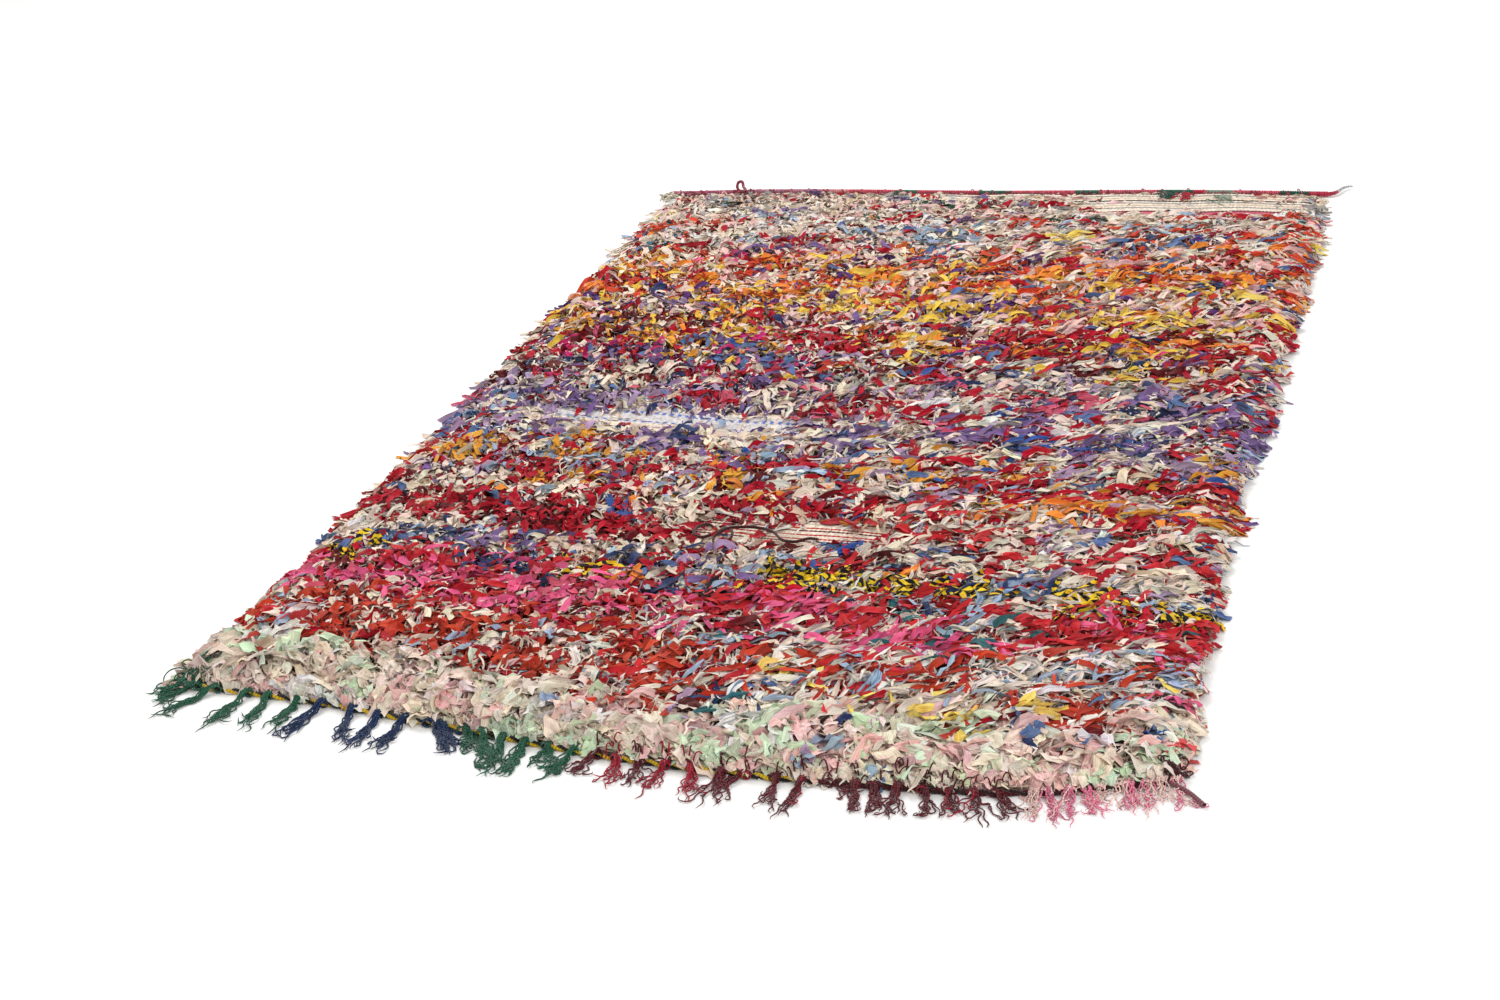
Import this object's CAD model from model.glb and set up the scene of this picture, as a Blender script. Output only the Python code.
import math

import bpy
import numpy as np
from mathutils import Matrix, Vector
from mathutils.bvhtree import BVHTree


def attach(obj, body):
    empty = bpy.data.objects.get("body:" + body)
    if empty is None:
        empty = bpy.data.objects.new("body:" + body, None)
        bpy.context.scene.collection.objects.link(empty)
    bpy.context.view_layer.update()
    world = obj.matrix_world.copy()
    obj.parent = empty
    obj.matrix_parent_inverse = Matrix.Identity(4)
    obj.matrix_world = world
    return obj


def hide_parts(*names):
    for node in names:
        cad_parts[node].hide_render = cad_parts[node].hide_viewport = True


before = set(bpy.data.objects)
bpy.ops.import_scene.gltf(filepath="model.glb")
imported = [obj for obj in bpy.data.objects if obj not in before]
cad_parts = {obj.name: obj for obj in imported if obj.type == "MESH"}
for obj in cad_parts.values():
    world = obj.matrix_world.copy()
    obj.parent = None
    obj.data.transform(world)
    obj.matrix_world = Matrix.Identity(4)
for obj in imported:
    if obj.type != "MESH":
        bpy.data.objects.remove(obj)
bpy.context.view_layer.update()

# Ground weave
# The rug's ground: wool warps and wefts woven tight, cream and brown, one cloth laid flat
# on the floor. Every strip of the pile is knotted into it, and it shows where they part.
# The rug's own x and y start at the middle of its length and width; MIDDLE is the frame's
# origin in them. Its edges are rows of x, y along the ends and of y, x along the sides
MIDDLE = np.array([-0.0116, -0.0597])
NEAR_EDGE = (
    (-0.725, -1.018), (-0.50, -1.036), (-0.26, -1.073), (0.0, -1.110),
    (0.30, -1.120), (0.54, -1.102), (0.70, -1.052),
)
FAR_EDGE = ((-0.65, 1.010), (-0.50, 1.024), (0.04, 1.030), (0.45, 1.044), (0.70, 1.040))
LEFT_SIDE = (
    (-1.018, -0.725), (-0.80, -0.705), (-0.40, -0.690), (0.0, -0.675),
    (0.40, -0.665), (0.80, -0.655), (1.01, -0.650),
)
RIGHT_SIDE = (
    (-1.052, 0.700), (-0.80, 0.695), (-0.40, 0.682), (0.0, 0.690),
    (0.40, 0.700), (0.80, 0.700), (1.04, 0.692),
)
# Places with no knots. Columns: x, y, half length, half width, height of the wefts there
BARE_PLACES = (
    (-0.28, -0.095, 0.33, 0.036, 0.0085),
    (0.02, -0.482, 0.20, 0.050, 0.0085),
    (0.43, 0.975, 0.27, 0.046, 0.0075),
)
WEAVE_TOP = 0.0045
WEAVE_INSET = 0.004
WEAVE_THICKNESS = 0.0032
WEAVE_COLUMNS, WEAVE_ROWS = 71, 107
HALF_WIDTH = 0.70
# How far the weave lies below the wefts of a bare place
BELOW_WEFTS = 0.002
# Cloth and wool colours as a screen shows them
PILE_COLOURS = {
    "cream": (0.92, 0.86, 0.79), "white": (0.93, 0.91, 0.89), "blush": (0.91, 0.75, 0.73),
    "mint": (0.83, 0.89, 0.78), "beige": (0.84, 0.75, 0.66), "rust": (0.71, 0.20, 0.12),
    "orange_red": (0.80, 0.26, 0.15), "scarlet": (0.78, 0.16, 0.19),
    "crimson": (0.69, 0.05, 0.15), "maroon": (0.38, 0.06, 0.09),
    "hot_pink": (0.87, 0.36, 0.54), "rose": (0.80, 0.35, 0.45), "magenta": (0.75, 0.13, 0.42),
    "orange": (0.92, 0.54, 0.20), "ochre": (0.87, 0.62, 0.22), "yellow": (0.93, 0.77, 0.30),
    "butter": (0.95, 0.84, 0.42), "light_blue": (0.62, 0.70, 0.79), "sky": (0.48, 0.61, 0.77),
    "denim": (0.34, 0.44, 0.62), "navy": (0.16, 0.21, 0.38), "blue": (0.20, 0.33, 0.60),
    "teal": (0.20, 0.42, 0.45), "lilac": (0.66, 0.56, 0.69), "purple": (0.47, 0.37, 0.57),
    "violet": (0.34, 0.19, 0.46), "grey": (0.62, 0.60, 0.58), "charcoal": (0.13, 0.12, 0.13),
    "dark_green": (0.12, 0.30, 0.22), "brown": (0.28, 0.16, 0.12), "zigzag": (0.93, 0.78, 0.12),
    "coral": (0.84, 0.33, 0.34), "tape": (0.82, 0.80, 0.80), "tape_blue": (0.34, 0.43, 0.74),
}


def linear(colour):
    """Scene colour of a display colour: the power curve that screens use, undone."""
    c = np.asarray(colour, float)
    return np.where(c < 0.04045, c / 12.92, ((c + 0.055) / 1.055) ** 2.4)


def curve_through(table, at):
    """Smooth curve through rows of (station, value): a cubic between stations, its slopes
    the mean rise on both sides, held level beyond the ends."""
    stations, values = np.array(table, float).T
    slopes = np.gradient(values, stations)
    at = np.clip(at, stations[0], stations[-1])
    i = np.clip(np.searchsorted(stations, at) - 1, 0, len(stations) - 2)
    step = stations[i + 1] - stations[i]
    t = (at - stations[i]) / step
    return (
        values[i] * (1 + 2 * t) * (1 - t) ** 2
        + slopes[i] * step * t * (1 - t) ** 2
        + values[i + 1] * t * t * (3 - 2 * t)
        + slopes[i + 1] * step * t * t * (t - 1)
    )


def rug_plan(u, v):
    """Place on the rug, in the rug's own x and y: u runs from the left side to the right,
    v from the fringed edge to the bound end, and both edges keep their bow."""
    row = NEAR_EDGE[-1][1] + (FAR_EDGE[-1][1] - NEAR_EDGE[-1][1]) * v
    left, right = curve_through(LEFT_SIDE, row), curve_through(RIGHT_SIDE, row)
    x = left + (right - left) * u
    near, far = curve_through(NEAR_EDGE, x), curve_through(FAR_EDGE, x)
    return x, near + (far - near) * v


def ease(low, high, value):
    """0 below low, 1 above high, and a smooth S between."""
    t = np.clip((value - low) / (high - low), 0, 1)
    return t * t * (3 - 2 * t)


def bareness(x, y):
    """How bare the weave is at a place: 1 inside the ellipses of BARE_PLACES, 0 outside."""
    bare = np.zeros(np.shape(x))
    for cx, cy, half_long, half_wide, _ in BARE_PLACES:
        away = np.hypot((x - cx) / half_long, (y - cy) / half_wide)
        bare = np.maximum(bare, 1 - ease(0.75, 1.10, away))
    return bare


def quads_of_grids(count, steps, points, first=0):
    """Corner numbers of the quads of `count` grids, each `steps` by `points` vertices."""
    corner = (np.arange(steps - 1)[:, None] * points + np.arange(points - 1)).ravel()
    quad = np.stack([corner, corner + points, corner + points + 1, corner + 1], -1)
    return first + (np.arange(count)[:, None, None] * steps * points + quad).reshape(-1, 4)


def cloth_piece(name, vertices, quads, colours=None, uvs=(), values=(), smooth=True):
    """A mesh object made of whole arrays: vertices, quads, a colour for each vertex, and
    named UV maps and values given for each vertex."""
    mesh = bpy.data.meshes.new(name)
    vertices = np.asarray(vertices, np.float32).reshape(-1, 3)
    vertices = vertices - np.array([*MIDDLE, 0], np.float32)
    quads = np.asarray(quads, np.int32)
    mesh.vertices.add(len(vertices))
    mesh.vertices.foreach_set("co", vertices.ravel())
    mesh.loops.add(quads.size)
    mesh.loops.foreach_set("vertex_index", quads.ravel())
    mesh.polygons.add(len(quads))
    mesh.polygons.foreach_set("loop_start", np.arange(0, quads.size, 4, dtype=np.int32))
    mesh.polygons.foreach_set("use_smooth", np.full(len(quads), smooth))
    for label, uv in uvs:
        layer = mesh.uv_layers.new(name=label)
        layer.data.foreach_set("uv", uv.reshape(-1, 2)[quads.ravel()].astype(np.float32).ravel())
    if colours is not None:
        layer = mesh.attributes.new("dye", "FLOAT_COLOR", "POINT")
        full = np.ones((len(vertices), 4), np.float32)
        full[:, :3] = colours.reshape(-1, 3)
        layer.data.foreach_set("color", full.ravel())
    for label, value in values:
        layer = mesh.attributes.new(label, "FLOAT", "POINT")
        layer.data.foreach_set("value", np.asarray(value, np.float32).ravel())
    mesh.update(calc_edges=True)
    obj = bpy.data.objects.new(name, mesh)
    bpy.context.scene.collection.objects.link(obj)
    return obj


class Cloth:
    """A fabric material under construction: its node tree, with short ways to add nodes."""

    def __init__(self, name, roughness=0.9, sheen=0.25):
        self.material = bpy.data.materials.new(name)
        self.material.use_nodes = True
        self.nodes = self.material.node_tree.nodes
        self.links = self.material.node_tree.links
        self.shader = self.nodes["Principled BSDF"]
        self.shader.inputs["Roughness"].default_value = roughness
        self.shader.inputs["Sheen Weight"].default_value = sheen
        self.shader.inputs["Sheen Roughness"].default_value = 0.45
        self.shader.inputs["Specular IOR Level"].default_value = 0.18

    def add(self, kind, settings=(), **inputs):
        """A node of that kind with its settings and inputs; an input may be a socket."""
        node = self.nodes.new(kind)
        for label, value in dict(settings).items():
            setattr(node, label, value)
        for label, value in inputs.items():
            place = int(label[1:]) if label[1:].isdigit() else label.replace("_", " ")
            self.feed(node, place, value)
        return node

    def feed(self, node, place, value):
        """Sets one input of a node to a value or joins it to a socket."""
        if isinstance(value, bpy.types.NodeSocket):
            self.links.new(value, node.inputs[place])
        else:
            node.inputs[place].default_value = value

    def attribute(self, label, output="Fac"):
        """A named attribute or value of the mesh."""
        return self.add("ShaderNodeAttribute", {"attribute_name": label}).outputs[output]

    def stretched(self, source, scale):
        """Coordinates scaled along each axis."""
        mapping = self.add("ShaderNodeMapping", Vector=source)
        mapping.inputs["Scale"].default_value = scale
        return mapping.outputs["Vector"]

    def noise(self, vector, scale, detail=2.0, distortion=0.0):
        """Smooth noise at that scale."""
        node = self.add(
            "ShaderNodeTexNoise", Vector=vector, Scale=scale, Detail=detail,
            Distortion=distortion,
        )
        return node.outputs["Fac"]

    def waves(self, vector, scale, distortion=0.0, direction="X"):
        """Sine ridges across one axis, bent by some noise."""
        settings = {"bands_direction": direction, "wave_profile": "SIN"}
        node = self.add(
            "ShaderNodeTexWave", settings, Vector=vector, Scale=scale, Distortion=distortion
        )
        node.inputs["Detail"].default_value = 1.0
        return node.outputs["Fac"]

    def spread(self, value, low, high, to_low, to_high):
        """A value's range mapped onto another range and held there."""
        node = self.add("ShaderNodeMapRange", Value=value)
        ends = {"From Min": low, "From Max": high, "To Min": to_low, "To Max": to_high}
        for place, number in ends.items():
            node.inputs[place].default_value = number
        return node.outputs["Result"]

    def math(self, operation, a, b):
        """Two numbers put together."""
        return self.add("ShaderNodeMath", {"operation": operation}, _0=a, _1=b).outputs[0]

    def blend(self, kind, factor, a, b):
        """Two colours mixed, multiplied or overlaid."""
        node = self.add("ShaderNodeMix", {"data_type": "RGBA", "blend_type": kind})
        self.feed(node, 0, factor)
        self.feed(node, 6, a)
        self.feed(node, 7, b)
        return node.outputs[2]

    def paint(self, colour):
        """The colour goes to the shader."""
        self.feed(self.shader, "Base Color", colour)

    def paint_shaded(self, colour, tone):
        """The colour goes to the shader, times a grey of that tone."""
        grey = self.add("ShaderNodeCombineColor", _0=tone, _1=tone, _2=tone).outputs[0]
        self.paint(self.blend("MULTIPLY", 1.0, colour, grey))

    def relief(self, height, distance, strength=1.0):
        """Bump from a height, laid over any bump already there."""
        bump = self.add("ShaderNodeBump", Height=height)
        bump.inputs["Distance"].default_value = distance
        bump.inputs["Strength"].default_value = strength
        before = self.shader.inputs["Normal"].links
        if before:
            self.links.new(before[0].from_socket, bump.inputs["Normal"])
        self.links.new(bump.outputs["Normal"], self.shader.inputs["Normal"])


def weave_material():
    """Cream and brown yarn, crossed at 4 mm, darker between the ridges."""
    cream_wool, brown_wool = (0.62, 0.50, 0.38, 1), (0.40, 0.24, 0.18, 1)
    cloth = Cloth("ground_weave", 0.95, 0.15)
    place = cloth.add("ShaderNodeTexCoord").outputs["Object"]
    wefts = cloth.waves(place, scale=78.0, distortion=1.2, direction="Y")
    warps = cloth.waves(place, scale=60.0, distortion=0.8, direction="X")
    over = cloth.math("MULTIPLY", wefts, warps)
    patch = cloth.noise(cloth.stretched(place, (6.0, 60.0, 6.0)), scale=1.0)
    base = cloth.blend("MIX", cloth.spread(patch, 0.40, 0.62, 0, 1), cream_wool, brown_wool)
    cloth.paint_shaded(base, cloth.spread(over, 0.0, 0.7, 0.55, 1.0))
    cloth.relief(over, 0.0012)
    return cloth.material


u, v = np.meshgrid(np.linspace(0, 1, WEAVE_COLUMNS), np.linspace(0, 1, WEAVE_ROWS))
weave_x, weave_y = rug_plan(u, v)
weave_z = np.full(u.shape, WEAVE_TOP)
for cx, cy, half_long, half_wide, height in BARE_PLACES:
    away = np.hypot((weave_x - cx) / (half_long * 1.1), (weave_y - cy) / (half_wide * 1.3))
    raised = height - BELOW_WEFTS - WEAVE_TOP
    weave_z = np.maximum(weave_z, WEAVE_TOP + raised * (1 - ease(0.7, 1.3, away)))
inward = 1 - WEAVE_INSET / HALF_WIDTH
ground = cloth_piece(
    "ground_weave", np.stack([weave_x * inward, weave_y * inward, weave_z], -1),
    quads_of_grids(1, *u.shape),
)
ground.data.flip_normals()
thickness = ground.modifiers.new("thickness", "SOLIDIFY")
thickness.thickness = WEAVE_THICKNESS
thickness.offset = -1
ground.data.materials.append(weave_material())
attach(ground, "root")
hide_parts("pile")

# Rag pile
# Strips of worn cotton, jersey and printed cloth, knotted row by row round the warps, both
# ends left to flop over. Each row runs on in one colour until that rag ran out.
ROWS = 84
KNOTTED_WIDTH = 1.39
PALE_END = 0.062
# Columns: kind, from v, to v, knot spacing, steps along, points across
STRIP_KINDS = (
    ("wide", 0.0, PALE_END, 0.0050, 7, 4),
    ("strip", PALE_END, 0.51, 0.0047, 6, 3),
    ("strip", 0.51, 1.0, 0.0050, 6, 3),
    ("yarn", 0.0, 0.51, 0.0060, 7, 2),
    ("yarn", 0.51, 1.0, 0.0056, 7, 2),
)
# The pile is made in six pieces, one after the other up the rug
BAND_ENDS = (0.0, 0.17, 0.34, 0.51, 0.68, 0.84, 1.0)
BAND_NAMES = ("pale_end", "pink_rows", "crimson_rows", "purple_rows", "yellow_rows", "cream_end")

# Colours of the rows. Columns: where the band ends, colours on the left, on the right
COLOUR_BANDS = (
    (0.053, "cream 47 white 4 mint 17 blush 28 beige 4",
            "mint 27 blush 28 cream 35 white 10"),
    (0.070, "rust 34 cream 17 light_blue 8 orange_red 16 crimson 16 white 3",
            "rust 24 butter 3 navy 3 denim 3 cream 28 light_blue 8 maroon 4 crimson 7 white 16"),
    (0.095, "rust 48 orange_red 14 cream 13 light_blue 5 white 4 scarlet 8 crimson 8",
            "rust 24 cream 24 white 32 light_blue 6 butter 3 denim 2 orange_red 6"),
    (0.120, "orange_red 22 rust 40 cream 16 white 4 light_blue 3 scarlet 8 crimson 8",
            "rust 22 cream 26 white 32 light_blue 6 orange_red 8"),
    (0.135, "rust 24 crimson 24 cream 20 rose 8 scarlet 12 light_blue 3 maroon 3",
            "cream 34 rust 18 hot_pink 12 scarlet 16 light_blue 4 orange_red 6 white 8"),
    (0.155, "hot_pink 22 scarlet 16 crimson 24 cream 13 rust 8 maroon 9 light_blue 3",
            "hot_pink 22 scarlet 28 cream 22 crimson 16 teal 4 light_blue 2"),
    (0.180, "hot_pink 29 scarlet 15 crimson 25 cream 9 rose 9 maroon 8 denim 3",
            "scarlet 32 crimson 28 cream 14 light_blue 4 hot_pink 16 teal 3"),
    (0.203, "scarlet 24 hot_pink 16 cream 14 light_blue 6 navy 6 crimson 24",
            "light_blue 10 navy 7 cream 32 scarlet 22 white 8 charcoal 3 crimson 8"),
    (0.225, "cream 30 light_blue 8 lilac 5 orange 4 denim 10 crimson 24 purple 6 navy 5",
            "cream 36 light_blue 7 denim 9 scarlet 16 lilac 5 white 5 purple 5 teal 4 crimson 9"),
    (0.250, "cream 36 light_blue 6 navy 6 purple 8 crimson 24 orange 3 maroon 3",
            "cream 42 scarlet 22 lilac 8 blue 4 light_blue 4 maroon 5 denim 4 beige 4"),
    (0.280, "crimson 36 cream 27 rust 5 maroon 13 orange 3 light_blue 3 denim 5 navy 3",
            "cream 41 scarlet 15 crimson 17 beige 8 lilac 7 maroon 6 denim 5"),
    (0.310, "crimson 36 cream 32 maroon 14 scarlet 5 lilac 3 beige 3 denim 5",
            "scarlet 16 crimson 23 cream 36 beige 8 lilac 7 white 6"),
    (0.340, "cream 31 crimson 32 blush 3 orange 4 light_blue 4 ochre 5 maroon 9 purple 4",
            "orange 5 ochre 7 crimson 22 cream 33 scarlet 11 denim 6 purple 4 beige 7"),
    (0.370, "crimson 22 cream 30 ochre 8 orange 7 lilac 6 light_blue 6 beige 7 maroon 4",
            "crimson 27 cream 24 orange 4 ochre 8 lilac 7 denim 6 scarlet 11 teal 1"),
    (0.400, "ochre 11 cream 30 crimson 20 lilac 9 light_blue 6 purple 5 denim 3 beige 6",
            "crimson 22 cream 24 ochre 9 lilac 11 blue 5 denim 7 orange 3 beige 6"),
    (0.445, "lilac 13 cream 31 denim 6 light_blue 7 crimson 12 purple 10 ochre 6 beige 5 navy 3",
            "purple 13 blue 7 lilac 14 cream 24 crimson 15 light_blue 5 navy 4 ochre 4"),
    (0.480, "lilac 20 cream 27 purple 18 light_blue 4 navy 7 crimson 11 beige 3",
            "purple 16 lilac 18 cream 24 navy 5 blue 6 crimson 11 white 6 rose 4"),
    (0.520, "cream 25 lilac 14 purple 16 navy 7 denim 6 crimson 15 grey 4 beige 3 rose 7",
            "lilac 17 purple 11 cream 25 navy 5 crimson 15 denim 4 white 6 rose 5"),
    (0.555, "cream 19 grey 4 lilac 7 navy 6 purple 11 crimson 21 maroon 13 beige 3 rose 9",
            "cream 30 lilac 10 crimson 17 scarlet 6 navy 5 grey 6 denim 5 blush 7"),
    (0.590, "purple 11 lilac 4 blue 4 denim 6 cream 15 magenta 9 teal 3 crimson 19 yellow 5"
            " rose 7 maroon 8",
            "crimson 21 denim 6 cream 22 yellow 9 lilac 7 maroon 6 navy 3 rust 7"),
    (0.630, "purple 9 crimson 18 ochre 10 navy 4 maroon 9 cream 18 yellow 8 magenta 3 rose 4",
            "maroon 9 crimson 22 yellow 10 cream 20 rust 6 orange 9 navy 3 purple 5 blush 6"),
    (0.665, "maroon 7 crimson 15 ochre 3 purple 13 yellow 6 cream 24 orange 3 blush 13 lilac 9",
            "crimson 17 yellow 15 maroon 6 orange 6 cream 20 purple 6 blush 14 denim 5"),
    (0.700, "yellow 12 violet 7 cream 22 blush 22 orange 5 purple 7 crimson 8 lilac 11",
            "yellow 16 butter 4 orange 6 cream 22 blush 21 violet 6 scarlet 7 lilac 8 denim 5"),
    (0.735, "orange_red 14 violet 5 blush 18 orange 13 crimson 9 cream 20 yellow 10 lilac 4",
            "orange_red 15 scarlet 10 yellow 15 butter 3 blush 16 orange 11 violet 5 cream 18 denim 4"),
    (0.770, "orange 19 orange_red 11 yellow 11 violet 4 crimson 8 blush 19 cream 19",
            "yellow 14 orange 15 orange_red 17 violet 5 blush 16 cream 19 crimson 5 denim 4"),
    (0.805, "orange_red 13 orange 12 cream 24 crimson 9 violet 4 blush 17 yellow 5",
            "orange_red 22 orange 10 yellow 6 violet 5 blush 16 crimson 11 cream 15 denim 5"),
    (0.835, "cream 30 crimson 13 light_blue 6 purple 5 orange_red 8 blush 13 beige 8",
            "orange_red 17 rose 6 cream 28 orange 7 denim 5 crimson 11 blush 12"),
    (0.870, "cream 34 white 9 crimson 9 light_blue 7 orange_red 5 blush 11 purple 3 beige 9",
            "denim 6 light_blue 9 cream 36 orange_red 9 crimson 6 blush 13 butter 3 white 7"),
    (0.905, "cream 38 white 10 light_blue 6 crimson 8 orange_red 5 charcoal 2 blush 11 beige 6",
            "cream 36 orange_red 10 light_blue 7 white 14 orange 4 crimson 5 blush 10 butter 3"),
    (0.940, "cream 34 blush 13 white 6 light_blue 6 purple 4 dark_green 3 crimson 9 beige 10",
            "cream 38 light_blue 6 blush 12 orange_red 5 dark_green 3 crimson 6 purple 3 white 9"),
    (1.001, "cream 28 blush 14 grey 9 crimson 8 purple 4 light_blue 4 beige 14 dark_green 2",
            "cream 28 grey 10 beige 13 dark_green 4 crimson 6 maroon 3 blush 10"),
)

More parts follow.
